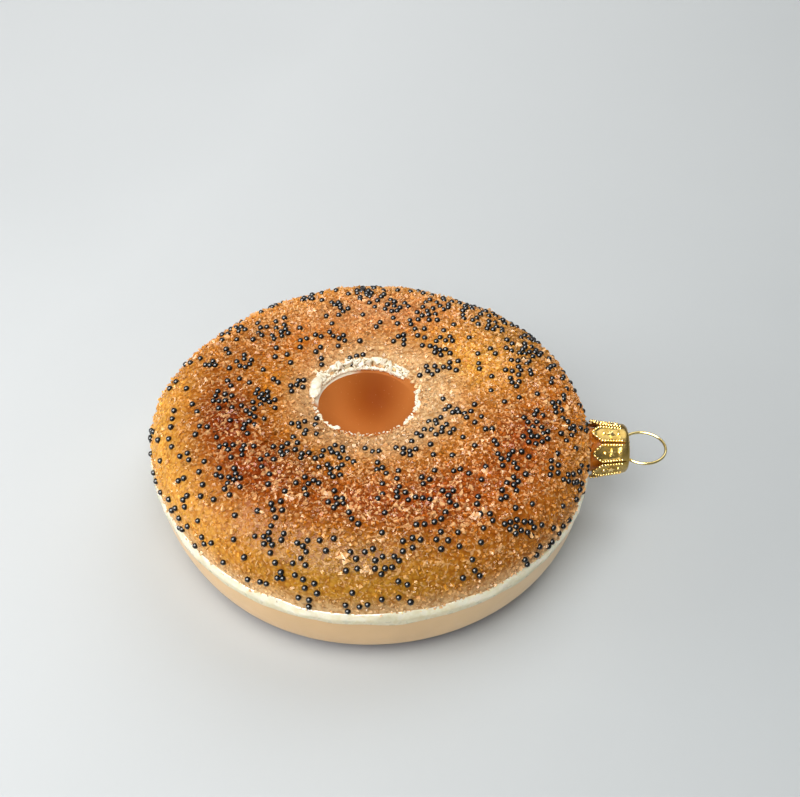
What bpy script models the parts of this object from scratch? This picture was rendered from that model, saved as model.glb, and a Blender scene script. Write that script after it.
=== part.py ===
"""Hanging glass ornament in the shape of a poppy seed bagel.

A blown body shaped as a ring bread with a dimple in place of its hole lies on its flat
underside. Its neck points along +X and wears a crown cap of pressed sheet metal with eight
pointed petals. A wire loop comes out of two holes in the cap, and its legs spring apart
inside the neck. Metres, +Z up, with the origin under the middle of the whole.
"""

import math

import bmesh
import bpy
from mathutils import Matrix, Vector

MM = 0.001

# Glass body, a turned shape. Heights are measured from its equator.
BODY_RADIUS = 40.0 * MM
TOP_HEIGHT = 12.2 * MM
BASE_DEPTH = 15.2 * MM
CROWN_RADIUS = 23.0 * MM
TOP_ROUNDING = 2.5
BASE_RADIUS = 30.0 * MM
BASE_ROUNDING = 2.4
FLAT_INNER_RADIUS = 21.0 * MM
LIP_RADIUS = 9.6 * MM
LIP_DROP = 1.8 * MM
UNDER_LIP_RISE = 1.4 * MM
DIMPLE_RADIUS = 8.6 * MM
DIMPLE_STEP = 0.9 * MM
UNDER_DIMPLE_STEP = 0.4 * MM
DIMPLE_DEPTH = 5.6 * MM
DIMPLE_POWER = 2.2
DIMPLE_SHIFT = Vector((-0.7, 1.5, 0.0)) * MM
BODY_STEPS = 64

# The hand-shaped outline: (direction in degrees, spread in degrees, how far it stands out).
OUTLINE_SWELLS = (
    (43.0, 22.0, 0.55 * MM),
    (61.0, 6.0, -0.60 * MM),
    (90.0, 14.0, 0.45 * MM),
    (130.0, 18.0, -0.35 * MM),
    (168.0, 15.0, 1.00 * MM),
    (214.0, 18.0, -0.85 * MM),
)
FAR_REACH = 40.65 * MM

# Crown cap. Distances along the neck are measured from the middle of the body.
NECK_DROP = 1.9 * MM
PETAL_TIP = 40.2 * MM
CAP_END = 47.2 * MM
CAP_TIP_RADIUS = 5.5 * MM
CAP_END_RADIUS = 4.65 * MM
CAP_CORNER = 1.0 * MM
CAP_SHEET = 0.38 * MM
CAP_STEPS = 48
CAP_TURN = math.radians(-11.5)
CAP_CORNER_STEPS = 4
PETALS = 8
PETAL_POINT = 1.8 * MM
SLOT_WIDTH = 0.36 * MM
SLOT_END = 0.9 * MM
MOUTH_WIDTH = 3.9 * MM
MOUTH_CURVE = 0.6
MOUTH_STEPS = 5

# Neck of the body, inside the cap.
NECK_RADIUS = 3.95 * MM
NECK_BORE = 3.4 * MM
NECK_GAP = 0.35 * MM
NECK_END = CAP_END - CAP_SHEET - NECK_GAP
BORE_FLOOR = 39.4 * MM
NECK_ROOT = 34.0 * MM
NECK_SHOULDER = 41.6 * MM
NECK_FLARE = 1.0 * MM
FLARE_LENGTH = 3.0 * MM

# Wire loop, in the plane of the equator at the neck's height.
WIRE_DIAMETER = 0.54 * MM
LOOP_RADIUS = 4.15 * MM
LOOP_CENTRE = CAP_END + 3.05 * MM
WIRE_HOLE = 0.6 * MM
LEG_PINCH = (43.8 * MM, 2.35 * MM)
LEG_END = (40.4 * MM, 2.7 * MM)
LOOP_POINTS = 8

# How far a cutter passes the piece that it cuts.
OVERRUN = 1.0 * MM
WELD = 0.00001

# The origin is under the middle of the whole, from the body's far side to the loop's tip.
LOOP_TIP = LOOP_CENTRE + LOOP_RADIUS + WIRE_DIAMETER / 2
BODY_X = (FAR_REACH - LOOP_TIP) / 2
BODY_CENTRE = Vector((BODY_X, 0.0, BASE_DEPTH))
NECK_CENTRE = BODY_CENTRE - Vector((0.0, 0.0, NECK_DROP))

PAINTED_CRUST = (0.56, 0.20, 0.05, 1.0)
GOLD = (0.83, 0.60, 0.27, 1.0)


def clear_scene():
    """Removes every object, so that the file starts empty."""
    for obj in list(bpy.data.objects):
        bpy.data.objects.remove(obj, do_unlink=True)


def collection(name):
    """Returns a new collection of this name in the scene."""
    made = bpy.data.collections.new(name)
    bpy.context.scene.collection.children.link(made)
    return made


def material(name, colour, roughness, metallic):
    """Returns a Principled material."""
    made = bpy.data.materials.new(name)
    made.use_nodes = True
    shader = made.node_tree.nodes["Principled BSDF"]
    shader.inputs["Base Color"].default_value = colour
    shader.inputs["Roughness"].default_value = roughness
    shader.inputs["Metallic"].default_value = metallic
    return made


def along_neck():
    """Returns the placement that turns +Z to +X and starts at the neck's axis."""
    return Matrix.Translation(NECK_CENTRE) @ Matrix.Rotation(math.pi / 2, 4, "Y")


def superellipse(inner, outer, height, rounding, count):
    """Yields (radius, height) from the flat end at the inner radius to the outer radius at 0."""
    for i in range(count + 1):
        turn = math.pi / 2 * i / count
        radius = inner + (outer - inner) * math.sin(turn) ** (2 / rounding)
        yield radius, height * math.cos(turn) ** (2 / rounding)


def dimple(rim_height, count):
    """Yields (radius, height) from the middle of a dimple to its rim."""
    for i in range(count + 1):
        share = i / count
        rise = DIMPLE_DEPTH * share**DIMPLE_POWER
        yield DIMPLE_RADIUS * share, rim_height - DIMPLE_DEPTH + rise


def slope(inner, outer, low, high, count):
    """Yields (radius, height) up a slope that ends level at the outer radius."""
    for i in range(count):
        share = i / count
        ease = math.sin(math.pi / 2 * share)
        yield inner + (outer - inner) * share, low + (high - low) * ease


def body_profile():
    """Returns the body's profile from the top of its axis, round its outside, to the bottom."""
    lip = TOP_HEIGHT - LIP_DROP
    under_lip = BASE_DEPTH - UNDER_LIP_RISE
    top = list(dimple(lip - DIMPLE_STEP, 6))
    top += slope(LIP_RADIUS, CROWN_RADIUS, lip, TOP_HEIGHT, 5)
    top += superellipse(CROWN_RADIUS, BODY_RADIUS, TOP_HEIGHT, TOP_ROUNDING, 11)
    under = list(dimple(under_lip - UNDER_DIMPLE_STEP, 5))
    under += slope(LIP_RADIUS, FLAT_INNER_RADIUS, under_lip, BASE_DEPTH, 3)
    under.append((FLAT_INNER_RADIUS, BASE_DEPTH))
    under += superellipse(BASE_RADIUS, BODY_RADIUS, BASE_DEPTH, BASE_ROUNDING, 10)
    return top + [(radius, -depth) for radius, depth in reversed(under[:-1])]


def turned(name, profile, steps, group):
    """Returns an object that turns a profile of (radius, height) round its own Z axis."""
    mesh = bpy.data.meshes.new(name)
    points = [(radius, 0.0, height) for radius, height in profile]
    edges = [(i, i + 1) for i in range(len(points) - 1)]
    mesh.from_pydata(points, edges, [])
    obj = bpy.data.objects.new(name, mesh)
    group.objects.link(obj)
    screw = obj.modifiers.new("Turn", "SCREW")
    screw.steps = steps
    screw.render_steps = steps
    screw.use_merge_vertices = True
    screw.merge_threshold = WELD
    screw.use_normal_calculate = False
    return obj


def made_solid(obj, group):
    """Replaces an object by its evaluated mesh, closed up, and returns the new object."""
    bpy.context.view_layer.update()
    name = obj.name
    placement = obj.matrix_world.copy()
    graph = bpy.context.evaluated_depsgraph_get()
    mesh = bpy.data.meshes.new_from_object(obj.evaluated_get(graph))
    bpy.data.objects.remove(obj, do_unlink=True)
    shape = bmesh.new()
    shape.from_mesh(mesh)
    bmesh.ops.remove_doubles(shape, verts=shape.verts, dist=WELD)
    shape.to_mesh(mesh)
    shape.free()
    solid = bpy.data.objects.new(name, mesh)
    solid.matrix_world = placement
    group.objects.link(solid)
    return solid


def as_cutter(obj):
    """Marks an object as a tool that cuts or joins others."""
    obj.hide_render = True
    obj.display_type = "WIRE"
    return obj


def boolean(obj, other, operation):
    """Adds an exact Boolean modifier."""
    modifier = obj.modifiers.new(f"{operation.title()} {other.name}", "BOOLEAN")
    modifier.operation = operation
    modifier.solver = "EXACT"
    modifier.object = other


def dress(obj, finish, sharp_degrees):
    """Gives an object its material and smooth shading with sharp edges kept."""
    obj.data.materials.clear()
    obj.data.materials.append(finish)
    obj.data.shade_smooth()
    obj.data.set_sharp_from_angle(angle=math.radians(sharp_degrees))


def outline_offset(direction):
    """Returns how far the hand-shaped outline stands out of its circle in a direction."""
    total = 0.0
    for middle, spread, height in OUTLINE_SWELLS:
        away = (math.degrees(direction) - middle + 180) % 360 - 180
        total += height * math.exp(-0.5 * (away / spread) ** 2)
    return total


def shape_by_hand(mesh):
    """Moves the turned body's outer side in and out, and its upper dimple off its middle."""
    for vertex in mesh.vertices:
        radius = math.hypot(vertex.co.x, vertex.co.y)
        if radius > CROWN_RADIUS:
            share = (radius - CROWN_RADIUS) / (BODY_RADIUS - CROWN_RADIUS)
            offset = outline_offset(math.atan2(vertex.co.y, vertex.co.x)) * share
            vertex.co.x *= 1 + offset / radius
            vertex.co.y *= 1 + offset / radius
        elif vertex.co.z > 0:
            share = max(0.0, (radius - LIP_RADIUS) / (CROWN_RADIUS - LIP_RADIUS))
            vertex.co += DIMPLE_SHIFT * (1 - share)


def neck_profile():
    """Returns the solid neck's profile from its open end to its root, along the neck."""
    flare = [(NECK_RADIUS + NECK_FLARE * share**2, NECK_SHOULDER - FLARE_LENGTH * share)
             for share in (0.0, 0.25, 0.5, 0.75, 1.0)]
    root = [(flare[-1][0], NECK_ROOT), (0.0, NECK_ROOT)]
    return [(0.0, NECK_END), (NECK_RADIUS, NECK_END), *flare, *root]


def glass_body(parts, cutters, finish):
    """Makes the ring-shaped body with its open neck."""
    body = made_solid(turned("glass_body", body_profile(), BODY_STEPS, parts), parts)
    shape_by_hand(body.data)
    body.location = BODY_CENTRE
    neck = as_cutter(turned("neck_shape", neck_profile(), CAP_STEPS, cutters))
    neck.matrix_world = along_neck()
    boolean(body, neck, "UNION")
    bore_length = NECK_END - BORE_FLOOR + OVERRUN
    middle = NECK_CENTRE + Vector((BORE_FLOOR + bore_length / 2, 0.0, 0.0))
    bore = rod("bore_shape", NECK_BORE, bore_length, middle, 32, cutters)
    boolean(body, bore, "DIFFERENCE")
    dress(body, finish, 40)
    return body


def rod(name, radius, length, middle, sides, cutters):
    """Returns a round cutter along X."""
    bpy.ops.mesh.primitive_cylinder_add(
        vertices=sides, radius=radius, depth=length, location=middle,
        rotation=(0.0, math.pi / 2, 0.0))
    made = bpy.context.object
    made.name = name
    for group in list(made.users_collection):
        group.objects.unlink(made)
    cutters.objects.link(made)
    return as_cutter(made)


def cap_profile():
    """Returns the profile of the cap's sheet, down its outside and back up its inside."""
    top = []
    for i in range(CAP_CORNER_STEPS + 1):
        turn = math.pi / 2 * i / CAP_CORNER_STEPS
        across = CAP_END_RADIUS - CAP_CORNER + CAP_CORNER * math.sin(turn)
        top.append((across, CAP_END - CAP_CORNER + CAP_CORNER * math.cos(turn)))
    outside = [(0.0, CAP_END), *top]
    for share in (0.35, 0.7, 1.0):
        radius = CAP_END_RADIUS + (CAP_TIP_RADIUS - CAP_END_RADIUS) * share
        outside.append((radius, CAP_END - CAP_CORNER
                        + (PETAL_TIP - CAP_END + CAP_CORNER) * share))
    inside = []
    for radius, along in reversed(outside[1:]):
        lift = CAP_SHEET * min(1.0, (radius - top[0][0]) / CAP_CORNER)
        drop = CAP_SHEET * max(0.0, 1 - (CAP_END - along) / CAP_CORNER)
        inside.append((radius - lift, along - drop))
    inside.append((0.0, CAP_END - CAP_SHEET))
    return outside + inside


def slot_outline():
    """Returns the outline of the gap between two petals: a narrow slot with a wide mouth."""
    mouth = []
    for i in range(MOUTH_STEPS + 1):
        share = i / MOUTH_STEPS
        half = MOUTH_WIDTH / 2 + (SLOT_WIDTH - MOUTH_WIDTH) / 2 * share**MOUTH_CURVE
        mouth.append((half, PETAL_TIP + PETAL_POINT * share))
    side = [(MOUTH_WIDTH / 2, PETAL_TIP - OVERRUN), *mouth,
            (SLOT_WIDTH / 2, CAP_END - SLOT_END)]
    return side + [(-across, along) for across, along in reversed(side)]


def slot_cutter(index, cutters):
    """Returns one flat cutter that opens the two slots on opposite sides of the cap."""
    curve = bpy.data.curves.new(f"slot_shape_{index}", "CURVE")
    curve.dimensions = "2D"
    curve.fill_mode = "BOTH"
    curve.extrude = CAP_TIP_RADIUS + OVERRUN
    outline = slot_outline()
    spline = curve.splines.new("POLY")
    spline.points.add(len(outline) - 1)
    for point, (across, along) in zip(spline.points, outline):
        point.co = (across, along, 0.0, 1.0)
    spline.use_cyclic_u = True
    obj = bpy.data.objects.new(curve.name, curve)
    cutters.objects.link(obj)
    upright = Matrix.Rotation(math.pi / 2, 4, "X")
    turn = Matrix.Rotation(CAP_TURN + 2 * math.pi * index / PETALS, 4, "Z")
    obj.matrix_world = along_neck() @ turn @ upright
    return as_cutter(made_solid(obj, cutters))


def crown_cap(parts, cutters, finish):
    """Makes the cap with eight petals and two holes for the wire."""
    cap = turned("crown_cap", cap_profile(), CAP_STEPS, parts)
    cap.matrix_world = along_neck()
    cap = made_solid(cap, parts)
    for index in range(PETALS // 2):
        boolean(cap, slot_cutter(index, cutters), "DIFFERENCE")
    across = loop_half_width(CAP_END)
    for side, name in ((1, "left"), (-1, "right")):
        middle = NECK_CENTRE + Vector((CAP_END, side * across, 0.0))
        hole = rod(f"wire_hole_{name}", WIRE_HOLE, 2 * OVERRUN, middle, 16, cutters)
        boolean(cap, hole, "DIFFERENCE")
    dress(cap, finish, 35)
    return cap


def loop_half_width(along):
    """Returns how far the loop's circle is from the neck's axis at a place along it."""
    return math.sqrt(LOOP_RADIUS**2 - (along - LOOP_CENTRE) ** 2)


def wire_path():
    """Returns the wire's points in its plane, from one leg's end, round the loop, to the other."""
    entry = math.atan2(loop_half_width(CAP_END), CAP_END - LOOP_CENTRE)
    leg = [LEG_END, LEG_PINCH]
    ring = []
    for i in range(LOOP_POINTS + 1):
        turn = entry - 2 * entry * i / LOOP_POINTS
        ring.append((LOOP_CENTRE + LOOP_RADIUS * math.cos(turn), LOOP_RADIUS * math.sin(turn)))
    return leg + ring + [(along, -across) for along, across in reversed(leg)]


def wire_loop(parts, finish):
    """Makes the hanging loop from one piece of wire."""
    curve = bpy.data.curves.new("wire_loop", "CURVE")
    curve.dimensions = "3D"
    curve.bevel_depth = WIRE_DIAMETER / 2
    curve.bevel_resolution = 2
    curve.resolution_u = 5
    curve.use_fill_caps = True
    path = wire_path()
    spline = curve.splines.new("BEZIER")
    spline.bezier_points.add(len(path) - 1)
    for point, (along, across) in zip(spline.bezier_points, path):
        point.co = (along, across, 0.0)
        point.handle_left_type = "AUTO"
        point.handle_right_type = "AUTO"
    wire = bpy.data.objects.new("wire_loop", curve)
    wire.location = NECK_CENTRE
    parts.objects.link(wire)
    wire.data.materials.append(finish)
    return wire


def main():
    """Makes the three pieces of the ornament."""
    clear_scene()
    parts = collection("bagel_ornament")
    cutters = collection("cutters")
    glass_body(parts, cutters, material("painted_glass", PAINTED_CRUST, 0.45, 0.0))
    crown_cap(parts, cutters, material("gold_cap", GOLD, 0.28, 1.0))
    wire_loop(parts, material("gold_wire", GOLD, 0.25, 1.0))


main()
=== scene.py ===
"""Finishes and fine detail of the poppy seed bagel ornament.

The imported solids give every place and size. Around them this script makes the airbrushed
glass body, its crushed glass and seed beads, the raised cream line, the crumbly paste round
the dimple, the embossed petal cap and the wire loop, and a plain studio to see them in.
"""

import logging
import math
from collections.abc import Sequence
from dataclasses import dataclass, field
from enum import Enum

import bpy
import numpy as np
from mathutils import Matrix, Vector


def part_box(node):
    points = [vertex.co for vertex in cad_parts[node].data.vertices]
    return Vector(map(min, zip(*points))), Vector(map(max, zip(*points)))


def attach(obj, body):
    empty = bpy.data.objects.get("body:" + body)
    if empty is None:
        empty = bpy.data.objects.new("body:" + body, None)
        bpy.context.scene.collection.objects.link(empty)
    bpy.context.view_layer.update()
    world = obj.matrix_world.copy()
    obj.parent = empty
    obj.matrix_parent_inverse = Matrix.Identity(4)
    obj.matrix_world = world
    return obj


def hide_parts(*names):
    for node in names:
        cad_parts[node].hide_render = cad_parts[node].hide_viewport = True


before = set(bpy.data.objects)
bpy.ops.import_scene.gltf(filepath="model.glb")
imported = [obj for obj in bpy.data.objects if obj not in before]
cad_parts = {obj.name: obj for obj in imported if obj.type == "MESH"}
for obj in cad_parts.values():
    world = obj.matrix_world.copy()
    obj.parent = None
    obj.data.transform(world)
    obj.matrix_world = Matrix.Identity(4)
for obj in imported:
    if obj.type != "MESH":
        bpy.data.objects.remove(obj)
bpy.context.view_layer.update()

MM = 0.001
WELD = 0.000002
UPRIGHT = 0.9
FULL_TURN = 2 * math.pi
TINT = "tint"

Array = np.ndarray
Piece = bpy.types.Object
Socket = bpy.types.NodeSocket
Span = tuple[float, float]
Rgb = tuple[float, float, float]
Rgba = tuple[float, float, float, float]
Outline = list[tuple[float, float]]

WHOLE: Span = (0.0, 1.0)
FALLING: Span = (1.0, 0.0)
# Where nearly all of the noise lies.
NOISE: Span = (0.3, 0.7)

log = logging.getLogger("bagel_ornament")


# ---- Colours ----


class Paint(Enum):
    """The painter's colours and the shades painted with them, as red, green and blue from 0 to
    255.
    """

    GOLDEN = (204, 134, 38)
    HONEY = (244, 186, 84)
    # Painted shade for one side of the bare ring.
    SAND = (192, 150, 104)
    BEIGE = (222, 188, 144)
    ORANGE = (190, 100, 14)
    TOAST = (140, 50, 0)
    CHESTNUT = (92, 34, 0)
    ROSE = (172, 108, 50)
    UMBER = (160, 114, 50)
    OLIVE = (174, 132, 44)
    PEACH = (248, 226, 188)
    # Painted shade for the front of the peach side.
    APRICOT = (216, 180, 134)
    RUST = (96, 22, 8)
    CARAMEL = (192, 115, 54)
    # Brown paint with painted shade, for the dimple's darkest middle.
    CINNAMON = (150, 71, 3)
    AMBER = (196, 112, 30)
    CLEAR = (252, 200, 138)
    ICE = (255, 230, 204)
    CREAM = (244, 239, 216)
    BUTTER = (252, 246, 224)
    # Painted shade for the crevices of the paste.
    CREVICE = (150, 122, 76)
    # Olive cream with painted shade, for the lower half of the cream line.
    PUTTY = (222, 214, 184)

    @property
    def linear(self) -> Array:
        """The colour as three linear values."""
        return linear(self.value)


def linear(colour: Sequence[float]) -> Array:
    """Turns display values from 0 to 255 into linear ones from 0 to 1."""
    value = np.asarray(colour, float) / 255
    return np.where(value <= 0.04045, value / 12.92, ((value + 0.055) / 1.055) ** 2.4)


def eased(value: Array, low: float, high: float) -> Array:
    """Returns how far values are on a smooth rise from 0 at low to 1 at high."""
    share = np.clip((value - low) / (high - low), 0.0, 1.0)
    return share * share * (3 - 2 * share)


def blended(under: Array, over: Array, weight: Array) -> Array:
    """Returns rows of colours with another one laid over each, by the row's weight."""
    return under + (over - under) * weight[:, None]


def coated(paint: Paint, count: int) -> Array:
    """Returns one paint's linear colour for each of so many points."""
    return np.tile(paint.linear, (count, 1))


# ---- Finishes ----


class NodeBench:
    """Lays out the nodes of one material.

    Its constants shape the squiggles: the share of a stroke's width that is full, how much
    finer the noise is that breaks the strokes, and where that noise lets them through.
    """

    STROKE_CORE = 0.4
    BREAK_GRAIN = 0.55
    BREAK_SPAN: Span = (0.48, 0.56)

    def __init__(self, name: str) -> None:
        """Starts a material whose Principled shader is ready to be fed.

        Args:
            name: The material's name.
        """
        self.material = bpy.data.materials.new(name)
        self.material.use_nodes = True
        self.tree = self.material.node_tree
        self.shader = self.tree.nodes["Principled BSDF"]
        self.place = self.add("ShaderNodeTexCoord").outputs["Object"]

    def add(self, kind: str, **settings: object) -> bpy.types.Node:
        """Adds a node.

        Args:
            kind: The node's type.
            **settings: The node's own properties.

        Returns:
            The new node.
        """
        node = self.tree.nodes.new(kind)
        for key, value in settings.items():
            setattr(node, key, value)
        return node

    def feed(self, source: object, target: Socket) -> None:
        """Links a socket into another, or sets a plain value on it.

        Args:
            source: The socket or the value.
            target: What it goes into.
        """
        if isinstance(source, Socket):
            self.tree.links.new(source, target)
        else:
            target.default_value = source

    def setting(self, **values: object) -> None:
        """Sets the shader's own sockets, named with underscores for spaces."""
        for key, value in values.items():
            self.feed(value, self.shader.inputs[key.replace("_", " ")])

    def noise(self, grain: float, detail: float = 3.0) -> Socket:
        """Returns cloudy noise whose lumps are about as wide as grain, in metres.

        Args:
            grain: The lumps' width.
            detail: How many finer layers it has.

        Returns:
            The noise.
        """
        node = self.add("ShaderNodeTexNoise")
        self.feed(self.place, node.inputs["Vector"])
        node.inputs["Scale"].default_value = 1 / grain
        node.inputs["Detail"].default_value = detail
        return node.outputs["Fac"]

    def cells(self, grain: float) -> Socket:
        """Returns a pattern of cells about as wide as grain, in metres.

        Args:
            grain: The cells' width.

        Returns:
            How far each place is from its cell's middle.
        """
        node = self.add("ShaderNodeTexVoronoi")
        self.feed(self.place, node.inputs["Vector"])
        node.inputs["Scale"].default_value = 1 / grain
        return node.outputs["Distance"]

    def ranged(self, source: object, own: Span, onto: Span = WHOLE) -> Socket:
        """Maps a value from its own range onto another one, and clips it.

        Args:
            source: The value to map.
            own: The start and the end of its own range.
            onto: What the start and the end become.

        Returns:
            The mapped value.
        """
        node = self.add("ShaderNodeMapRange")
        for value, socket in zip((source, *own, *onto), node.inputs):
            self.feed(value, socket)
        return node.outputs["Result"]

    def mixed(self, weight: object, first: object, second: object,
              way: str = "MIX") -> Socket:
        """Mixes two colours.

        Args:
            weight: How much of the second colour shows.
            first: The first colour.
            second: The second colour.
            way: The kind of mixing.

        Returns:
            The mixed colour.
        """
        node = self.add("ShaderNodeMix", data_type="RGBA", blend_type=way)
        self.feed(weight, node.inputs[0])
        self.feed(first, node.inputs[6])
        self.feed(second, node.inputs[7])
        return node.outputs[2]

    def toned(self, colour: object, tone: object) -> Socket:
        """Returns a colour multiplied by another, or by a plain value."""
        return self.mixed(1.0, colour, tone, "MULTIPLY")

    def tint(self) -> Socket:
        """Returns the colour that the piece carries at its points."""
        return self.add("ShaderNodeAttribute", attribute_name=TINT).outputs["Color"]

    def sugar(self) -> Socket:
        """Returns how sugary the piece is at its points, from 0 to 1."""
        return self.add("ShaderNodeAttribute", attribute_name=TINT).outputs["Alpha"]

    def worked(self, way: str, first: object, second: object = 0.0) -> Socket:
        """Returns the result of one sum on two values.

        Args:
            way: The sum's kind.
            first: The first value.
            second: The second value, if it has one.

        Returns:
            The result.
        """
        node = self.add("ShaderNodeMath", operation=way)
        self.feed(first, node.inputs[0])
        self.feed(second, node.inputs[1])
        return node.outputs[0]

    def squiggles(self, grain: float, width: float) -> Socket:
        """Returns short winding strokes: 1 along a stroke and 0 beside it.

        Args:
            grain: About how far the strokes are apart, in metres.
            width: How wide they are, as a share of the noise that they follow.

        Returns:
            The strokes.
        """
        level = self.worked("ABSOLUTE", self.worked("SUBTRACT", self.noise(grain, 0.0), 0.5))
        stroke = self.ranged(level, (width * self.STROKE_CORE, width), FALLING)
        broken = self.ranged(self.noise(grain * self.BREAK_GRAIN, 1.0), self.BREAK_SPAN)
        return self.worked("MULTIPLY", stroke, broken)

    def bump(self, height: object, depth: float, strength: float = 1.0,
             over: object = None) -> Socket:
        """Returns a surface direction that rises and falls with a height.

        Args:
            height: The height, from 0 to 1.
            depth: How deep a height of 1 is, in metres.
            strength: How much of it shows.
            over: A direction from another bump, which this one adds to.

        Returns:
            The surface direction.
        """
        node = self.add("ShaderNodeBump")
        node.inputs["Distance"].default_value = depth
        node.inputs["Strength"].default_value = strength
        self.feed(height, node.inputs["Height"])
        if over is not None:
            self.feed(over, node.inputs["Normal"])
        return node.outputs["Normal"]


def solid(colour: Array) -> Rgba:
    """Returns a linear colour with full opacity, as sockets take it."""
    return (float(colour[0]), float(colour[1]), float(colour[2]), 1.0)


@dataclass(frozen=True)
class Finish:
    """A named finish, which each kind lays out in its own way."""

    name: str

    def make(self) -> bpy.types.Material:
        """Returns the finish as a material.

        Returns:
            The material.
        """
        bench = NodeBench(self.name)
        self.lay_out(bench)
        return bench.material

    def lay_out(self, bench: NodeBench) -> None:
        """Lays out the material's nodes on its bench."""
        raise NotImplementedError


@dataclass(frozen=True)
class CrustFinish(Finish):
    """Airbrushed colour under lacquer, with granules of glass just below the surface and painted
    shade between them.
    """

    name: str = "airbrushed_crust"
    granule: float = 0.8 * MM
    domes: Span = (0.1, 0.7)
    gaps: Span = (0.35, 0.8)
    dome_tone: Rgba = (1.08, 1.06, 1.0, 1)
    gap_shade_tone: Rgba = (0.74, 0.56, 0.36, 1)
    dome_height: float = 0.12 * MM
    fleck: float = 1.15 * MM
    stroke: float = 0.10
    stroke_share: Span = (0.4, 0.9)
    stroke_height: float = 0.18 * MM
    cloud: float = 3.0 * MM
    cloud_detail: float = 5.0
    cloud_span: Span = (0.35, 0.65)
    clouding: Span = (0.88, 1.12)
    shine: float = 0.045
    coat_roughness: float = 0.07
    roughness: Span = (0.25, 0.4)

    def lay_out(self, bench: NodeBench) -> None:
        """Lays out the material's nodes on its bench.

        Args:
            bench: The material's bench.
        """
        granules = bench.cells(self.granule)
        strokes = bench.squiggles(self.fleck, self.stroke)
        cloud = bench.noise(self.cloud, self.cloud_detail)
        # Painted shade between the granules, partly the deeper colour of the glass there; their
        # middles are a little lighter.
        tone = bench.mixed(bench.ranged(granules, self.gaps), self.dome_tone, self.gap_shade_tone)
        clouded = bench.ranged(cloud, self.cloud_span, self.clouding)
        colour = bench.toned(bench.toned(bench.tint(), tone), clouded)
        share = bench.ranged(bench.sugar(), WHOLE, self.stroke_share)
        sugared = bench.worked("MULTIPLY", strokes, share)
        # The pale strokes stand for the edges of clear glass flakes, partly as painted highlight.
        colour = bench.mixed(sugared, colour, solid(Paint.CLEAR.linear))
        raised = bench.bump(sugared, self.stroke_height)
        domes = bench.ranged(granules, self.domes, FALLING)
        relief = bench.bump(domes, self.dome_height, over=raised)
        bench.setting(Base_Color=colour, Normal=relief, Specular_IOR_Level=self.shine,
                      Coat_Weight=self.shine, Coat_Roughness=self.coat_roughness,
                      Roughness=bench.ranged(cloud, NOISE, self.roughness))


@dataclass(frozen=True)
class SatinFinish(Finish):
    """Smooth satin paint on glass, with specks on it and a little unevenness under it."""

    roughness: float = 0.42
    smears: Span = (-0.05, 0.06)
    smear: float = 1.5 * MM
    coat: float = 0.08
    coat_roughness: float = 0.22
    shine: float = 0.2
    cloud: float = 7 * MM
    clouding: Span = (0.95, 1.04)
    speck: float = 0.9 * MM
    speck_size: Span = (0.04, 0.11)
    speck_share: float = 0.15
    grain: float = 0.35 * MM
    grain_height: float = 0.004 * MM
    wave: float = 6 * MM
    wave_height: float = 0.10 * MM
    relief: float = 0.5

    def lay_out(self, bench: NodeBench) -> None:
        """Lays out the material's nodes on its bench.

        Args:
            bench: The material's bench.
        """
        cloud = bench.noise(self.cloud, 4.0)
        speck = bench.ranged(bench.cells(self.speck), self.speck_size, (self.speck_share, 0.0))
        tone = bench.ranged(cloud, NOISE, self.clouding)
        colour = bench.mixed(speck, bench.toned(bench.tint(), tone), solid(Paint.CLEAR.linear))
        fine = bench.bump(bench.noise(self.grain, 2.0), self.grain_height, self.relief)
        wavy = bench.bump(bench.noise(self.wave, 2.0), self.wave_height, self.relief, fine)
        low, high = self.smears
        gloss = bench.ranged(bench.noise(self.smear), NOISE,
                             (self.roughness + low, self.roughness + high))
        bench.setting(Base_Color=colour, Roughness=gloss, Normal=wavy,
                      Specular_IOR_Level=self.shine, Coat_Weight=self.coat,
                      Coat_Roughness=self.coat_roughness)


@dataclass(frozen=True)
class GritFinish(Finish):
    """Crushed glass: each grain holds its own tint, clouded, streaked and glossy."""

    clear: Paint = Paint.CLEAR
    cloud: float = 0.35 * MM
    clouding: Span = (0.86, 1.14)
    fleck: float = 1.15 * MM
    stroke: float = 0.10
    stroke_share: Span = (0.5, 0.95)
    roughness: Span = (0.06, 0.22)
    shine: float = 0.15

    def lay_out(self, bench: NodeBench) -> None:
        """Lays out the material's nodes on its bench.

        Args:
            bench: The material's bench.
        """
        cloud = bench.noise(self.cloud, 2.0)
        strokes = bench.squiggles(self.fleck, self.stroke)
        tone = bench.ranged(cloud, NOISE, self.clouding)
        share = bench.ranged(bench.sugar(), WHOLE, self.stroke_share)
        # The pale strokes stand for the edges of clear glass flakes, partly as painted highlight.
        colour = bench.mixed(bench.worked("MULTIPLY", strokes, share),
                             bench.toned(bench.tint(), tone), solid(self.clear.linear))
        bench.setting(Base_Color=colour, Roughness=bench.ranged(cloud, NOISE, self.roughness),
                      Specular_IOR_Level=self.shine)


@dataclass(frozen=True)
class BeadFinish(Finish):
    """Black glass beads with a faint cold cast."""

    name: str = "black_beads"
    black: Rgba = (0.003, 0.003, 0.004, 1)
    cold: Rgba = (0.004, 0.006, 0.006, 1)
    cast: float = 5 * MM
    cast_span: Span = (0.4, 0.6)
    smear: float = 0.5 * MM
    roughness: Span = (0.02, 0.06)
    ior: float = 1.42

    def lay_out(self, bench: NodeBench) -> None:
        """Lays out the material's nodes on its bench.

        Args:
            bench: The material's bench.
        """
        cast = bench.ranged(bench.noise(self.cast), self.cast_span)
        gloss = bench.ranged(bench.noise(self.smear), NOISE, self.roughness)
        bench.setting(Base_Color=bench.mixed(cast, self.black, self.cold), Roughness=gloss,
                      IOR=self.ior)


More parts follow.
